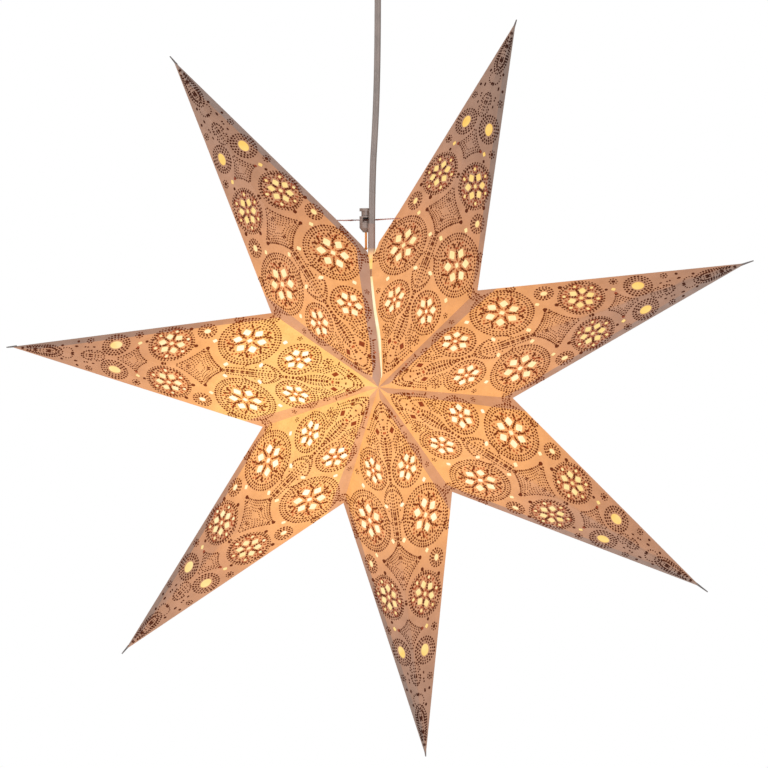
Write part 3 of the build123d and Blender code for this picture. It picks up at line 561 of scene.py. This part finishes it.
def flatFace(holes, grid, inset=0.0):
    # a half face lying flat, with its cut-outs, divided for its bulge and its flaps
    bm = bmesh.new()
    corners = [Vector(spot) for spot in ((0, 0, 0), (ridgeLength, 0, 0), (notchAlong, notchAcross, 0))]
    sides = [(corners[i - 2] - corners[i - 1]).length for i in range(3)]
    innerRadius = ridgeLength * notchAcross / sum(sides)
    middle = sum((corner * side for corner, side in zip(corners, sides)), Vector()) / sum(sides)
    corners = [middle + (corner - middle) * (1 - inset / innerRadius) for corner in corners]
    corners = [bm.verts.new(corner) for corner in corners]
    for a, b in zip(corners, corners[1:] + corners[:1]):
        bm.edges.new((a, b))
    for place, count in holes:
        loop = bmesh.ops.create_circle(bm, segments=count, radius=1.0, matrix=place)["verts"]
        if count == cutOuts["corners"]:
            for vert in loop[1::2]:
                vert.co = place.translation + (vert.co - place.translation) * cutOuts["bulge"]
    bmesh.ops.triangle_fill(bm, use_beauty=True, edges=bm.edges[:], normal=(0, 0, 1))
    for way, length in ((Vector((1, 0, 0)), ridgeLength), (Vector((0, 1, 0)), notchAcross)):
        for step in range(1, ceil(length / grid)):
            divide(bm, way * grid * step, way)
    if not inset:
        run = Vector((ridgeLength - notchAlong, -notchAcross, 0)).normalized()
        inward = Vector((run.y, -run.x, 0))
        divide(bm, Vector((ridgeLength, 0, 0)) + inward * flaps["rim"], inward)
        divide(bm, (flaps["valleyStart"], 0, 0), (-flaps["valleySlope"], 1, 0))
    for face in bm.faces:
        if face.normal.z < 0:
            face.normal_flip()
    return toMesh("flatFace", bm)


fourFaces = [(side, turn) for side in (-1, 1) for turn in (-1, 1)]


def strayAt(along, across, number, turn):
    # shared out over a half face by the place's nearness to its tip and its notch
    beside = number if turn < 0 else (number - 2) % star["count"] + 1
    notchShare = across / notchAcross
    tipShare = (along - notchShare * notchAlong) / ridgeLength
    tip, notch = Vector(strays["tips"][number]), Vector(strays["notches"][beside])
    move = (tip * tipShare + notch * notchShare) * mm
    if (number, turn) in ((seamLeft, -1), (seamRight, 1)):
        move.x += bowAt(along, across, number) * mm
    return Vector((move.x, 0, move.y))


def bowAt(along, across, number):
    share = (along * notchAlong + across * notchAcross) / (notchAlong ** 2 + notchAcross ** 2)
    valley = max(edgeDistances(along, across)[1], 0.0)
    fade = max(1 - valley / seamFade, 0.0) * across / max(across + valley, seamGuard)
    for (start, low), (end, high) in zip(seamBow[number], seamBow[number][1:]):
        if start <= share <= end:
            return fade * (low + (high - low) * (share - start) / (end - start))
    return fade * seamBow[number][-1][1]


def foldUp(number, flat, lift, faces=fourFaces):
    # copies of a flat half face, bulged and folded round one point
    bm = bmesh.new()
    flapOf = bm.faces.layers.float.new("flap")
    paleOf = bm.faces.layers.float.new("pale")
    for index, (side, turn) in enumerate(faces):
        vertStart, faceStart = len(bm.verts), len(bm.faces)
        bm.from_mesh(flat)
        bm.verts.ensure_lookup_table()
        bm.faces.ensure_lookup_table()
        fresh = bm.verts[vertStart:]
        for face in bm.faces[faceStart:]:
            middle = face.calc_center_median()
            face[flapOf], face[paleOf] = flapDim(middle.x, turn * middle.y, number)
        moves = [strayAt(vert.co.x, vert.co.y, number, turn) for vert in fresh]
        for vert in fresh:
            vert.co.z += lift + wave(vert.co.x, vert.co.y, number + bulge["perFace"] * index)
        matrix = faceMatrix(number, side, turn)
        bmesh.ops.transform(bm, matrix=matrix, verts=fresh)
        for vert, move in zip(fresh, moves):
            vert.co += move
        if matrix.determinant() < 0:
            bmesh.ops.reverse_faces(bm, faces=bm.faces[faceStart:])
    return bm


def flapDim(along, across, number):
    # light held back and paleness
    # each point laps over its neighbour's valley, but the seam's lap lies on the point left of it
    rim = edgeDistances(along, abs(across))[2]
    if across < 0 and rim < flaps["rim"] and along > notchAlong - 2 * flaps["rim"]:
        rise = clamp((along - notchAlong) / flaps["rimRise"])
        least = flaps["rimLeast"][number]
        rise = least + (1 - least) * rise
        return flaps["rimDim"][number] * rise, flaps["rimPale"][number]
    if abs(across) > flaps["valleySlope"] * (along - flaps["valleyStart"]):
        if across > 0 and number != seamRight:
            return flaps["valleyDim"][number], flaps["valleyPale"]
        if across < 0 and number == seamLeft:
            return flaps["seamDim"], flaps["seamPale"]
    return 0.0, 0.0


def lightUp(piece, number, behind=False):
    values = piece.data.attributes.new("glow", "FLOAT", "POINT").data
    for vert, value in zip(piece.data.vertices, values):
        value.value = glowAt(vert.co, number, behind)


def foldsWith(piece):
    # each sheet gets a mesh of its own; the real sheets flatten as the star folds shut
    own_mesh(piece)


def bodyOf(number):
    return "pendant" if number == fixedPoint else f"fan_{number}"


def keepSheet(name, bm, number, materials, stands=(), behind=False):
    piece = keepPiece(f"{name}_{number}", bm, bodyOf(number), materials, stands)
    lightUp(piece, number, behind)
    foldsWith(piece)


passage = {"x": -5.052 * mm, "radius": 3.3 * mm, "foot": -0.282}


def clearCable(bm):
    # the corners beside the seam give way to the cable
    for vert in bm.verts:
        way = Vector((vert.co.x - passage["x"], vert.co.y, 0))
        if vert.co.z > passage["foot"] and way.length < passage["radius"]:
            away = way.normalized() * (passage["radius"] - way.length)
            vert.co += away


spur = {"root": 4.5, "width": 1.7, "thickness": 1.0, "point": 0.5,
        "lean": {1: 7.0, 2: 1.6, 3: 0.0, 4: -4.0, 5: -1.5, 6: 4.6, 7: 12.0},
        "reach": {1: 4.4, 2: 1.8, 3: 6.0, 4: 7.2, 5: 0.3, 6: 4.4, 7: 4.0}}


def addSpur(bm, number):
    # the pinched end of the paper past a tip
    tip = Vector((star["tip"], 0, 0))
    lean, reach = radians(spur["lean"][number]), spur["reach"][number]
    edge = Vector((cos(lean), 0, sin(lean)))
    axes = Matrix((edge, Vector((0, 1, 0)), edge.cross(Vector((0, 1, 0))))).transposed().to_4x4()
    axes.translation = tip + edge * (reach - spur["root"]) / 2
    sizes = Matrix.Diagonal((spur["root"] + reach, spur["thickness"], spur["width"], 1))
    made = bmesh.ops.create_cube(bm, size=1.0, matrix=sizes)["verts"]
    for vert in made:
        if vert.co.x > 0:
            vert.co.y *= spur["point"]
            vert.co.z *= spur["point"]
    bmesh.ops.transform(bm, matrix=turnedTo(number) @ axes, verts=made)
    move = strayAt(ridgeLength, 0.0, number, -1)
    for vert in made:
        vert.co += move
    for face in {face for vert in made for face in vert.link_faces}:
        face.material_index = 1


def makeSheets():
    flatPaper = flatFace(cutLoops(), star["grid"])
    flatTissue = flatFace((), 2 * star["grid"], star["tissueInset"])
    for number in range(1, star["count"] + 1):
        bm = foldUp(number, flatPaper, 0.0)
        bmesh.ops.remove_doubles(bm, verts=bm.verts[:], dist=weldGap)
        if number in (seamLeft, seamRight):
            clearCable(bm)
        bmesh.ops.solidify(bm, geom=bm.faces[:], thickness=star["paper"] * mm)
        addSpur(bm, number)
        keepSheet("paper", bm, number, [starPaper, finish["spurPaper"]], [f"point_{number}"])
        bm = foldUp(number, flatTissue, -star["paper"] - star["tissueGap"])
        bmesh.ops.solidify(bm, geom=bm.faces[:], thickness=star["tissue"] * mm)
        keepSheet("liner", bm, number, [starTissue], [f"tissue_{number}"], behind=True)


makeSheets()

lap = {"start": 0.04, "end": 0.955, "inside": 1.0, "width": (1.2, 6.0), "rows": 24, "behind": 0.8,
       "thick": 0.15, "bright": 0.73, "dull": 0.26, "dullFrom": 0.72}


def makeLap():
    # a tissue strip on the point right of the seam, which closes it from behind
    bm = bmesh.new()
    bmesh.ops.create_grid(bm, x_segments=lap["rows"], y_segments=1, size=0.5)
    valley = Vector((notchAlong, notchAcross, 0))
    outward = Vector((-notchAcross, notchAlong, 0)).normalized()
    for vert in bm.verts:
        share = lap["start"] + (lap["end"] - lap["start"]) * (vert.co.x + 0.5)
        width = lap["width"][0] + (lap["width"][1] - lap["width"][0]) * share
        vert.co = valley * share + outward * (width if vert.co.y > 0 else -lap["inside"])
    flat = toMesh("flatLap", bm)
    bm = foldUp(seamRight, flat, -lap["behind"], [(-1, 1), (1, 1)])
    bmesh.ops.solidify(bm, geom=bm.faces[:], thickness=lap["thick"] * mm)
    piece = keepPiece("seam_lap", bm, bodyOf(seamRight), [starTissue])
    # painted light: the strip glows brightest near the centre and duller out towards the notch
    values = piece.data.attributes.new("glow", "FLOAT", "POINT").data
    reach = star["notch"] * mm
    for vert, value in zip(piece.data.vertices, values):
        outer = hypot(vert.co.x - centre.x, vert.co.z - centre.z) / reach
        fade = clamp((outer - lap["dullFrom"]) / (lap["end"] - lap["dullFrom"]))
        value.value = lap["bright"] + (lap["dull"] - lap["bright"]) * fade
    foldsWith(piece)


makeLap()
print("star sheets folded:", star["count"])

# the print, in the same flat coordinates: pads of ink, mirrored about each ridge
printed = {"height": 0.2, "sink": 0.08, "sides": 6, "stippleSides": 5, "top": 0.85, "edge": 0.3, "clear": 1.3,
           "ridge": 1.1, "ridgeSmall": 0.8, "gap": 2.2, "netGap": 2.7, "netFoot": 1.0, "netTaper": 1.5,
           "bold": 2.02, "outerBold": 0.06, "boldFrom": 90.0, "boldOver": 60.0, "spread": 0.14,
           "spreadWaves": (37, 91), "redEvery": 3, "stitch": 0.8, "stitches": 8, "stitchReach": 1.5,
           "lozengeSides": 4}
printRings = (  # along, across, radius, dots, dot size
    (71.5, 19.9, 16.0, 38, 1.05), (71.5, 19.9, 13.8, 32, 0.9), (116.6, 33.5, 25.2, 58, 1.05),
    (116.6, 33.5, 23.2, 54, 0.8), (116.6, 33.5, 20.9, 48, 1.05), (154.9, 39.4, 3.9, 9, 0.85),
    (154.9, 39.4, 5.4, 12, 0.95), (154.9, 39.4, 7.4, 17, 0.95), (179.8, 21.9, 16.6, 38, 1.15),
    (179.8, 21.9, 18.5, 42, 0.8), (210.0, 27.3, 3.0, 8, 0.8), (265.0, 0.0, 6.0, 16, 0.7),
    (225.5, 14.2, 6.6, 15, 0.95), (225.5, 14.2, 8.8, 20, 1.0), (225.5, 14.2, 11.0, 25, 1.0),
    (46.7, 19.5, 3.7, 8, 0.95), (46.7, 19.5, 1.6, 4, 0.8), (76.7, 41.7, 1.8, 5, 0.75),
    (104.0, 60.0, 3.6, 9, 1.0), (104.0, 60.0, 1.5, 4, 0.8), (132.7, 55.7, 3.4, 9, 1.0),
    (132.7, 55.7, 1.4, 4, 0.8), (248.7, 15.8, 2.5, 7, 0.8))
stipples = (  # along, across, inner and outer radius, dots, dot size
    (71.5, 19.9, 4.2, 12.2, 48, 0.9), (116.6, 33.5, 5.0, 19.2, 128, 0.95),
    (179.8, 21.9, 4.5, 15.6, 84, 0.93))
nets = (  # place on the ridge, half its base, height, dot size
    (98.5, 15.0, 11.5, 0.9), (241.5, 9.5, 8.0, 0.75), (285.0, 14.0, 7.5, 0.75))
printDots = (  # along, across, size
    (26.5, 7.8, 1.6), (20.0, 6.0, 1.1), (21.3, 8.0, 1.1), (25.0, 10.7, 1.1), (148.5, 21.4, 1.8),
    (159.0, 22.5, 1.7), (201.0, 21.0, 1.7), (210.0, 27.3, 1.7), (258.5, 13.6, 1.2), (248.2, 8.6, 0.8),
    (250.6, 8.6, 0.8), (270.5, 7.6, 1.4), (169.0, 39.7, 1.7), (248.7, 15.8, 1.0), (46.7, 19.5, 0.9),
    (76.7, 41.7, 0.9), (150.0, 17.0, 1.3))
redDots = ((206.2, 13.8, 1.3), (37.5, 0.8, 1.1), (28.0, 14.0, 0.9))
ridgeDots = (
    12.0, 14.6, 17.2, 20.0, 26.5, 32.6, 34.3, 42.0, 44.1, 46.2, 48.4, 50.8, 53.0, 55.2, 57.4, 59.6, 61.8,
    64.2, 67.3, 70.0, 73.0, 75.6, 78.2, 81.0, 127.8, 130.6, 178.0, 180.4)
printDashes = (  # along, across, length, breadth, turn
    (37.7, 20.0, 2.4, 0.7, 90), (243.0, 9.3, 1.6, 0.9, 0), (258.3, 8.3, 1.6, 0.9, 0),
    (243.5, 1.1, 1.8, 1.1, 0), (259.0, 0.9, 1.4, 1.0, 0), (279.7, 0.9, 2.1, 1.1, 0),
    (292.0, 0.9, 2.1, 1.2, 0), (303.5, 0.8, 1.7, 1.0, 0), (104.0, 0.9, 2.0, 0.8, 0),
    (108.2, 0.9, 1.6, 0.9, 0), (112.4, 0.9, 2.2, 1.0, 0), (116.6, 0.9, 1.6, 0.8, 0),
    (120.8, 0.9, 2.2, 1.0, 0), (125.0, 0.9, 1.6, 0.9, 0), (141.0, 0.9, 1.7, 0.8, 0),
    (158.7, 0.9, 1.7, 0.8, 0))
lozenges = (  # along, across, length, breadth
    (37.4, 8.2, 3.4, 2.9), (26.6, 8.0, 1.5, 1.3), (66.0, 1.4, 1.4, 1.0))
printCurves = (  # start, end, sideways bend, dot size
    ((14.0, 2.4), (23.5, 10.4), 0.6, 0.8), ((17.5, 2.4), (26.5, 9.0), 0.6, 0.8),
    ((20.5, 2.2), (25.5, 5.6), 0.4, 0.8), ((22.0, 8.2), (37.5, 18.6), 0.5, 0.8),
    ((37.5, 18.6), (52.0, 9.0), 0.5, 0.8), ((24.5, 7.0), (37.5, 16.0), 0.4, 0.8),
    ((37.5, 16.0), (49.5, 8.8), 0.4, 0.8), ((29.0, 6.4), (37.5, 12.9), 0.3, 0.75),
    ((37.5, 12.9), (46.5, 8.0), 0.3, 0.75), ((28.5, 5.0), (37.5, 3.4), -0.4, 0.75),
    ((37.5, 3.4), (46.5, 6.0), -0.4, 0.75), ((40.0, 2.4), (63.0, 1.8), 3.0, 0.85),
    ((45.0, 2.2), (60.0, 1.8), 1.3, 0.75), ((50.5, 11.0), (56.0, 9.2), 0.6, 0.8),
    ((42.0, 12.6), (55.0, 13.2), 0.8, 0.75), ((53.4, 15.5), (55.6, 28.5), 1.6, 0.8),
    ((56.0, 29.5), (61.5, 34.6), 0.6, 0.8), ((80.0, 1.2), (94.0, 9.8), 1.4, 0.9),
    ((84.0, 1.2), (96.0, 10.4), 1.4, 0.85), ((102.0, 11.4), (113.0, 5.6), 1.2, 0.85),
    ((101.0, 3.2), (127.0, 3.2), 0.6, 0.8), ((129.5, 1.0), (147.6, 19.4), -1.8, 0.95),
    ((133.6, 1.0), (148.0, 17.2), -1.5, 0.68), ((137.5, 1.0), (148.2, 14.2), -1.1, 0.64),
    ((141.0, 1.0), (148.4, 10.6), -0.8, 0.6), ((144.5, 1.0), (148.6, 6.8), -0.4, 0.6),
    ((168.0, 1.0), (151.4, 19.4), 1.8, 0.95), ((164.0, 1.0), (151.0, 17.2), 1.5, 0.68),
    ((160.0, 1.0), (150.8, 14.2), 1.1, 0.64), ((156.5, 1.0), (150.4, 10.6), 0.8, 0.6),
    ((153.0, 1.0), (150.2, 6.8), 0.4, 0.6), ((194.6, 1.0), (205.6, 12.2), -1.2, 0.88),
    ((198.4, 1.0), (206.0, 9.8), -0.8, 0.66), ((202.0, 1.0), (206.2, 6.6), -0.4, 0.62),
    ((218.8, 1.0), (207.2, 12.2), 1.2, 0.88), ((214.6, 1.0), (206.8, 9.8), 0.8, 0.66),
    ((210.8, 1.0), (206.8, 6.6), 0.4, 0.62), ((231.0, 1.2), (239.0, 5.6), 1.2, 0.9),
    ((251.0, 1.2), (244.0, 5.4), -1.2, 0.9), ((268.0, 1.0), (281.0, 6.2), 1.6, 0.9),
    ((271.5, 1.0), (283.0, 4.4), 1.2, 0.9), ((275.0, 2.6), (285.0, 3.0), 0.8, 0.8),
    ((281.0, 6.2), (300.0, 2.2), 0.6, 0.9), ((283.0, 4.4), (299.0, 1.4), 0.4, 0.9))
spokes = (  # along, across, distances from the heart, dot size
    (71.5, 19.9, (4.6, 6.6, 8.6, 10.6), 0.95), (116.6, 33.5, (5.2, 7.2, 9.2, 11.2, 13.2), 1.1),
    (179.8, 21.9, (5.0, 7.0, 9.4), 1.05))
leaves = {"along": 116.6, "across": 33.5, "radius": 16.4, "spread": 20, "lean": 24, "length": 2.8,
          "breadth": 1.0}
cutPlaces = [(place.inverted(), count) for place, count in cutLoops()]
goldenTurn = pi * (3 - 5 ** 0.5)


def onPaper(along, across, room):
    if min(edgeDistances(along, across)) < room:
        return False
    for place, count in cutPlaces:
        spot = place @ Vector((along, across, 0))
        oval = count == cutOuts["ovalCorners"]
        reach = hypot(spot.x, spot.y) if oval else abs(spot.x) + abs(spot.y)
        if reach < printed["clear"]:
            return False
    return True


def inkPad(bm, along, across, length, breadth, turn=0.0, ink=brown, sides=printed["sides"]):
    if not onPaper(along, across, min(length, breadth) / 2 - printed["edge"]):
        return
    alongWave, acrossWave = printed["spreadWaves"]
    bold = printed["bold"] / 2 * (1 + printed["spread"] * sin(alongWave * along + acrossWave * across))
    bold *= 1 + printed["outerBold"] * clamp((along - printed["boldFrom"]) / printed["boldOver"])
    place = (Matrix.Translation((along, across, printed["height"] / 2 - printed["sink"]))
             @ Matrix.Rotation(turn, 4, "Z") @ Matrix.Diagonal((length * bold, breadth * bold, 1, 1)))
    made = bmesh.ops.create_cone(bm, cap_ends=True, segments=sides, radius1=1.0, radius2=printed["top"],
                                 depth=printed["height"], matrix=place)["verts"]
    for face in {face for vert in made for face in vert.link_faces}:
        face.material_index = ink


def inkDot(bm, spot, size, **more):
    inkPad(bm, spot[0], spot[1], size, size, **more)


def printRosettes(bm):
    for along, across, radius, count, size in printRings:
        for turn in around(count, 0.5):
            inkDot(bm, onRing(along, across, radius, turn), size)
    for along, across, inner, outer, count, size in stipples:
        for step in range(count):
            radius = (inner ** 2 + (outer ** 2 - inner ** 2) * (step + 0.5) / count) ** 0.5
            ink = brown if step % printed["redEvery"] else red
            inkDot(bm, onRing(along, across, radius, goldenTurn * step), size, ink=ink,
                   sides=printed["stippleSides"])
    for place, count in cutLoops()[:-len(cutOuts["ovals"]) - len(cutOuts["diamonds"])]:
        for turn in around(printed["stitches"], 0.5):
            way = place @ Vector((cos(turn), sin(turn), 0)) - place.translation
            inkDot(bm, place.translation + way * printed["stitchReach"], printed["stitch"], ink=red)
    for along, across, distances, size in spokes:
        for turn in around(cutOuts["petals"], 0.5):
            for distance in distances:
                inkDot(bm, onRing(along, across, distance, turn), size)
    for petal in around(cutOuts["petals"]):
        for hand in (-1, 1):
            turn = petal + hand * radians(leaves["spread"])
            spot = onRing(leaves["along"], leaves["across"], leaves["radius"], turn)
            inkPad(bm, *spot, leaves["length"], leaves["breadth"], turn - hand * radians(leaves["lean"]))


def printFillings(bm):
    for along, base, height, size in nets:
        for row in range(int(height / printed["netGap"])):
            across = printed["netFoot"] + row * printed["netGap"]
            reach = base * (1 - across / height) ** printed["netTaper"]
            count = max(1, round(2 * reach / printed["netGap"]))
            for step in range(count + 1):
                spot = along - reach + 2 * reach * step / count, across
                inkDot(bm, spot, size, sides=printed["stippleSides"])
    for along, across, size in printDots:
        inkDot(bm, (along, across), size)
    for along, across, size in redDots:
        inkDot(bm, (along, across), size, ink=red)
    for index, along in enumerate(ridgeDots):
        size = printed["ridge"] if index % 2 else printed["ridgeSmall"]
        inkDot(bm, (along, printed["ridge"] / 2), size)
    for along, across, length, breadth, turn in printDashes:
        inkPad(bm, along, across, length, breadth, radians(turn))
    for along, across, length, breadth in lozenges:
        inkPad(bm, along, across, length, breadth, ink=oxide, sides=printed["lozengeSides"])
    for start, end, bend, size in printCurves:
        start, end = Vector(start), Vector(end)
        run = end - start
        knee = (start + end) / 2 + Vector((-run.y, run.x)).normalized() * 2 * bend
        count = max(2, round(run.length / printed["gap"]))
        for step in range(count + 1):
            share = step / count
            inkDot(bm, start * (1 - share) ** 2 + knee * 2 * share * (1 - share) + end * share ** 2, size)


def flatPrint():
    bm = bmesh.new()
    printRosettes(bm)
    printFillings(bm)
    return toMesh("flatPrint", bm)


def makePrint():
    flat = flatPrint()
    for number in range(1, star["count"] + 1):
        bm = foldUp(number, flat, 0.0)
        keepSheet("print", bm, number, starInks)
    return len(flat.polygons)


print("print laid down, faces in a half face:", makePrint())

# tie string, twisted from three strands and knotted inside point 2 and in the middle of point 1,
# which still holds it when the star is folded
twine = {"route": ((-70.5, -6.4, -252.9), (-48.18, -6.78, -238.3), (-46.2, -5.69, -238.27),
                   (-23.5, 6.89, -237.9), (-20.5, 8.55, -237.7), (-17.0, 8.55, -237.6), (-5.0, 8.55, -237.6),
                   (-1.5, 8.55, -237.4), (1.0, 6.83, -237.2), (22.48, -7.93, -236.5)),
         "steps": 16, "radius": 0.46, "offset": 0.26, "strands": 3, "sides": 18, "turns": 53, "thick": 0.001,
         "length": 0.106, "knot": 1.25, "knotFineness": 3, "knotLumps": 0.14, "knotWaves": (9000, 7000, 5000),
         "tailFoot": -260.5, "tailTop": -247.3, "tailX": -10.1, "tailY": 8.55, "tailScale": 1.4,
         "tailTurns": 4, "tailSteps": 30}


def strandSection(scale):
    shape = []
    for turn in around(twine["sides"]):
        reach = twine["radius"] + twine["offset"] * abs(cos(twine["strands"] * turn / 2))
        shape.append((reach * scale * mm * cos(turn), reach * scale * mm * sin(turn)))
    return shape


def addKnot(bm, place, radius):
    made = bmesh.ops.create_icosphere(bm, subdivisions=twine["knotFineness"], radius=radius,
                                      matrix=Matrix.Translation(place))["verts"]
    xWave, yWave, zWave = twine["knotWaves"]
    for vert in made:
        way = vert.co - place
        lump = sin(xWave * way.x + zWave * way.z) * cos(yWave * way.y)
        vert.co = place + way * (1 + twine["knotLumps"] * lump)


def makeString():
    line = routeLine("stringRoute", [Vector(place) * mm for place in twine["route"]], twine["steps"])
    bm = bmesh.new()
    extrudeAlong(bm, line, Vector((0, 0, 1)), strandSection(1.0), 2 * pi * twine["turns"])
    for end in (line[0], line[-1]):
        addKnot(bm, end, twine["knot"] * mm)
    piece = keepPiece("tieString", bm, "fan_1", [finish["tieTwine"]], ["tie_string"])
    bm = bmesh.new()
    spots = []
    for step in range(twine["tailSteps"] + 1):
        height = twine["tailTop"] + (twine["tailFoot"] - twine["tailTop"]) * step / twine["tailSteps"]
        spots.append(Vector((twine["tailX"], twine["tailY"], height)) * mm)
    extrudeAlong(bm, spots, Vector((1, 0, 0)), strandSection(twine["tailScale"]), 2 * pi * twine["tailTurns"])
    addKnot(bm, spots[-1], twine["knot"] * mm)
    keepPiece("stringTail", bm, "cord_lock", [finish["lampLitTwine"]], ["string_tail"])


makeString()
print("tie string made")

# pieces with softened edges, from the solids: body, slot, finish and edge width in millimetres
softened = {
    "cord_lock_body": ("cord_lock", "lock_plastic", "lockPlastic", 0.35),
    "cord_lock_button": ("lock_button", "lock_plastic", "lockPlastic", 0.4),
    "canopy": ("ceiling_rose", "canopy_paint", "canopyPaint", 0.8),
    "ceiling_bracket": ("ceiling_rose", "bracket_steel", "bracketSteel", 0.25),
    "cord_grip": ("ceiling_rose", "grip_plastic", "gripPlastic", 0.3),
    "grip_nut": ("ceiling_rose", "grip_plastic", "gripPlastic", 0.3),
    "terminal_block": ("ceiling_rose", "grip_plastic", "gripPlastic", 0.3),
    "holder_cap": ("pendant", "holder_plastic", "holderPlastic", 0.5),
    "holder_skirt": ("pendant", "holder_plastic", "holderPlastic", 0.5)}
softEdge = {"angle": 32, "flat": 0.6, "segments": 2, "profile": 0.5}
lockShadePlate = {"width": 5.4, "height": 6.4, "thick": 0.4, "place": (-10.1, 10.9, -237.8)}


def nodeCopy(name):
    # a solid's mesh, its corners joined and its flat faces made whole
    bm = bmesh.new()
    bm.from_mesh(nodes[name].data)
    bmesh.ops.transform(bm, matrix=nodes[name].matrix_world, verts=bm.verts[:])
    bmesh.ops.remove_doubles(bm, verts=bm.verts[:], dist=weldGap)
    bmesh.ops.dissolve_limit(bm, angle_limit=radians(softEdge["flat"]), verts=bm.verts[:], edges=bm.edges[:])
    return bm


def soften():
    for name, (body, slot, finishName, width) in softened.items():
        bm = nodeCopy(name)
        sharp = [edge for edge in bm.edges if len(edge.link_faces) == 2
                 and edge.calc_face_angle(0.0) > radians(softEdge["angle"])]
        bmesh.ops.bevel(bm, geom=sharp, offset=width * mm, offset_type="OFFSET", affect="EDGES", material=-1,
                        profile=softEdge["profile"], segments=softEdge["segments"], clamp_overlap=True)
        piece = keepPiece(f"soft_{name}", bm, body, [finish[finishName]], [name])
        piece.data.shade_smooth()
        piece.data.set_sharp_from_angle(angle=radians(softEdge["angle"]))
    # a near-black plate in the lock's window, behind the string: painted shade where the lock's inside lies
    # in shadow
    bm = bmesh.new()
    sizes = Matrix.Diagonal((lockShadePlate["width"], lockShadePlate["thick"], lockShadePlate["height"], 1))
    bmesh.ops.create_cube(bm, size=mm, matrix=Matrix.Translation(Vector(lockShadePlate["place"]) * mm) @ sizes)
    keepPiece("lockShadePlate", bm, "lock_button", [finish["lockWindowShade"]])


soften()
print("edges softened:", len(softened))

# the lock's coil spring, wound at full length; the real one shortens under the button
spring = {"turns": 5, "steps": 20, "wire": 0.35 * mm, "sides": 8, "press": 2.5 * mm}


def makeSpring():
    low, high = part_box("cord_lock_spring")
    radius = (high.x - low.x) / 2 - spring["wire"]
    rise = high.z - low.z - 2 * spring["wire"]
    count = spring["turns"] * spring["steps"]
    x, y = (low.x + high.x) / 2, (low.y + high.y) / 2
    line = []
    for step in range(count + 1):
        turn = 2 * pi * step / spring["steps"]
        height = low.z + spring["wire"] + rise * step / count
        line.append(Vector((*onRing(x, y, radius, turn), height)))
    section = [onRing(0.0, 0.0, spring["wire"], turn) for turn in around(spring["sides"])]
    bm = bmesh.new()
    extrudeAlong(bm, line, Vector((0, 0, 1)), section)
    piece = keepPiece("lockSpring", bm, "cord_lock", [finish["bracketSteel"]],
                      ["cord_lock_spring"])
    piece.data.shade_smooth()
    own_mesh(piece)


makeSpring()
print("lock spring wound")

tabs = {"edge": -4.2, "dim": 0.66, "pale": 0.6}


def makeTabs():
    # closing tabs of the same paper, doubled left of `edge` and lit as the point right of the seam
    edge = tabs["edge"] * mm
    for name in ("closing_tab_front", "closing_tab_back"):
        bm = nodeCopy(name)
        divide(bm, (edge, 0, 0), (1, 0, 0))
        dimOf, paleOf = bm.faces.layers.float.new("flap"), bm.faces.layers.float.new("pale")
        for face in bm.faces:
            if face.calc_center_median().x < edge:
                face[dimOf], face[paleOf] = tabs["dim"], tabs["pale"]
        piece = keepPiece(f"paper_{name}", bm, "fan_1", [starPaper], [name])
        lightUp(piece, seamRight)
        foldsWith(piece)


makeTabs()
print("closing tabs made")

# finishes of the pieces kept from the frame
keptFinish = {
    "cableSheathShaded": ("cable_tail",), "cableSleeve": ("cable_sleeve",), "holderCeramic": ("holder_core",),
    "contactBrass": ("screw_shell", "centre_contact", "terminal_screws", "block_screws"),
    "leadInsulation": ("holder_leads",), "bulbMetal": ("bulb_cap",), "bulbSolder": ("bulb_contact",),
    "bulbInsulation": ("bulb_insulator",), "bracketSteel": ("canopy_screws",), "bulbGlass": ("bulb_glass",),
    "stemGlass": ("bulb_stem",), "filamentWire": ("bulb_filaments",)}
for finishName, members in keptFinish.items():
    for member in members:
        nodes[member].data.materials.clear()
        nodes[member].data.materials.append(finish[finishName])
print("kept nodes painted:", sum(len(members) for members in keptFinish.values()))

# studio
studio = {"floor": -2.3, "floorSize": 3.0, "floorSides": 96, "floorTone": (0.86, 0.86, 0.85, 1.0),
          "floorRough": 0.8, "ambient": 0.55, "seenFloor": 0.34}
lamps = {  # place, size, power
    "keyLight": ((0.6, -2.7, -1.0), 2.2, 72.0),
    "fillLight": ((-1.8, -2.0, 0.9), 2.0, 42.0)}
white = (1, 1, 1, 1)


def seenStrength(socket, unseen, seen):
    # one strength for what is seen, also in gloss and through glass, and another for the light it gives
    path = addNode(socket, "ShaderNodeLightPath")
    looked = path.outputs["Is Camera Ray"]
    for ray in ("Is Glossy Ray", "Is Transmission Ray"):
        looked = mathNode("MAXIMUM", looked, path.outputs[ray])
    tie(rangeNode(looked, unseen, seen, wholeSpan), socket)


def makeStudio():
    world = bpy.data.worlds.new("studio")
    world.use_nodes = True
    scene.world = world
    back = world.node_tree.nodes["Background"]
    back.inputs["Color"].default_value = white
    seenStrength(back.inputs["Strength"], studio["ambient"], 1.0)
    for name, (place, size, power) in lamps.items():
        data = bpy.data.lights.new(name, "AREA")
        data.size = size
        data.energy = power
        light = bpy.data.objects.new(name, data)
        light.location = place
        light.rotation_euler = (centre - Vector(place)).to_track_quat("-Z", "Y").to_euler()
        scene.collection.objects.link(light)
    bm = bmesh.new()
    bmesh.ops.create_circle(bm, cap_ends=True, segments=studio["floorSides"], radius=studio["floorSize"],
                            matrix=Matrix.Translation((0, 0, studio["floor"])))
    mesh = toMesh("floor", bm)
    floor = bpy.data.objects.new("floor", mesh)
    paint = {"Base Color": studio["floorTone"], "Roughness": studio["floorRough"], "Emission Color": white}
    material, shader = startMaterial("floorPaint", paint)
    seenStrength(shader.inputs["Emission Strength"], 0.0, studio["seenFloor"])
    mesh.materials.append(material)
    scene.collection.objects.link(floor)


makeStudio()
print("studio lit")
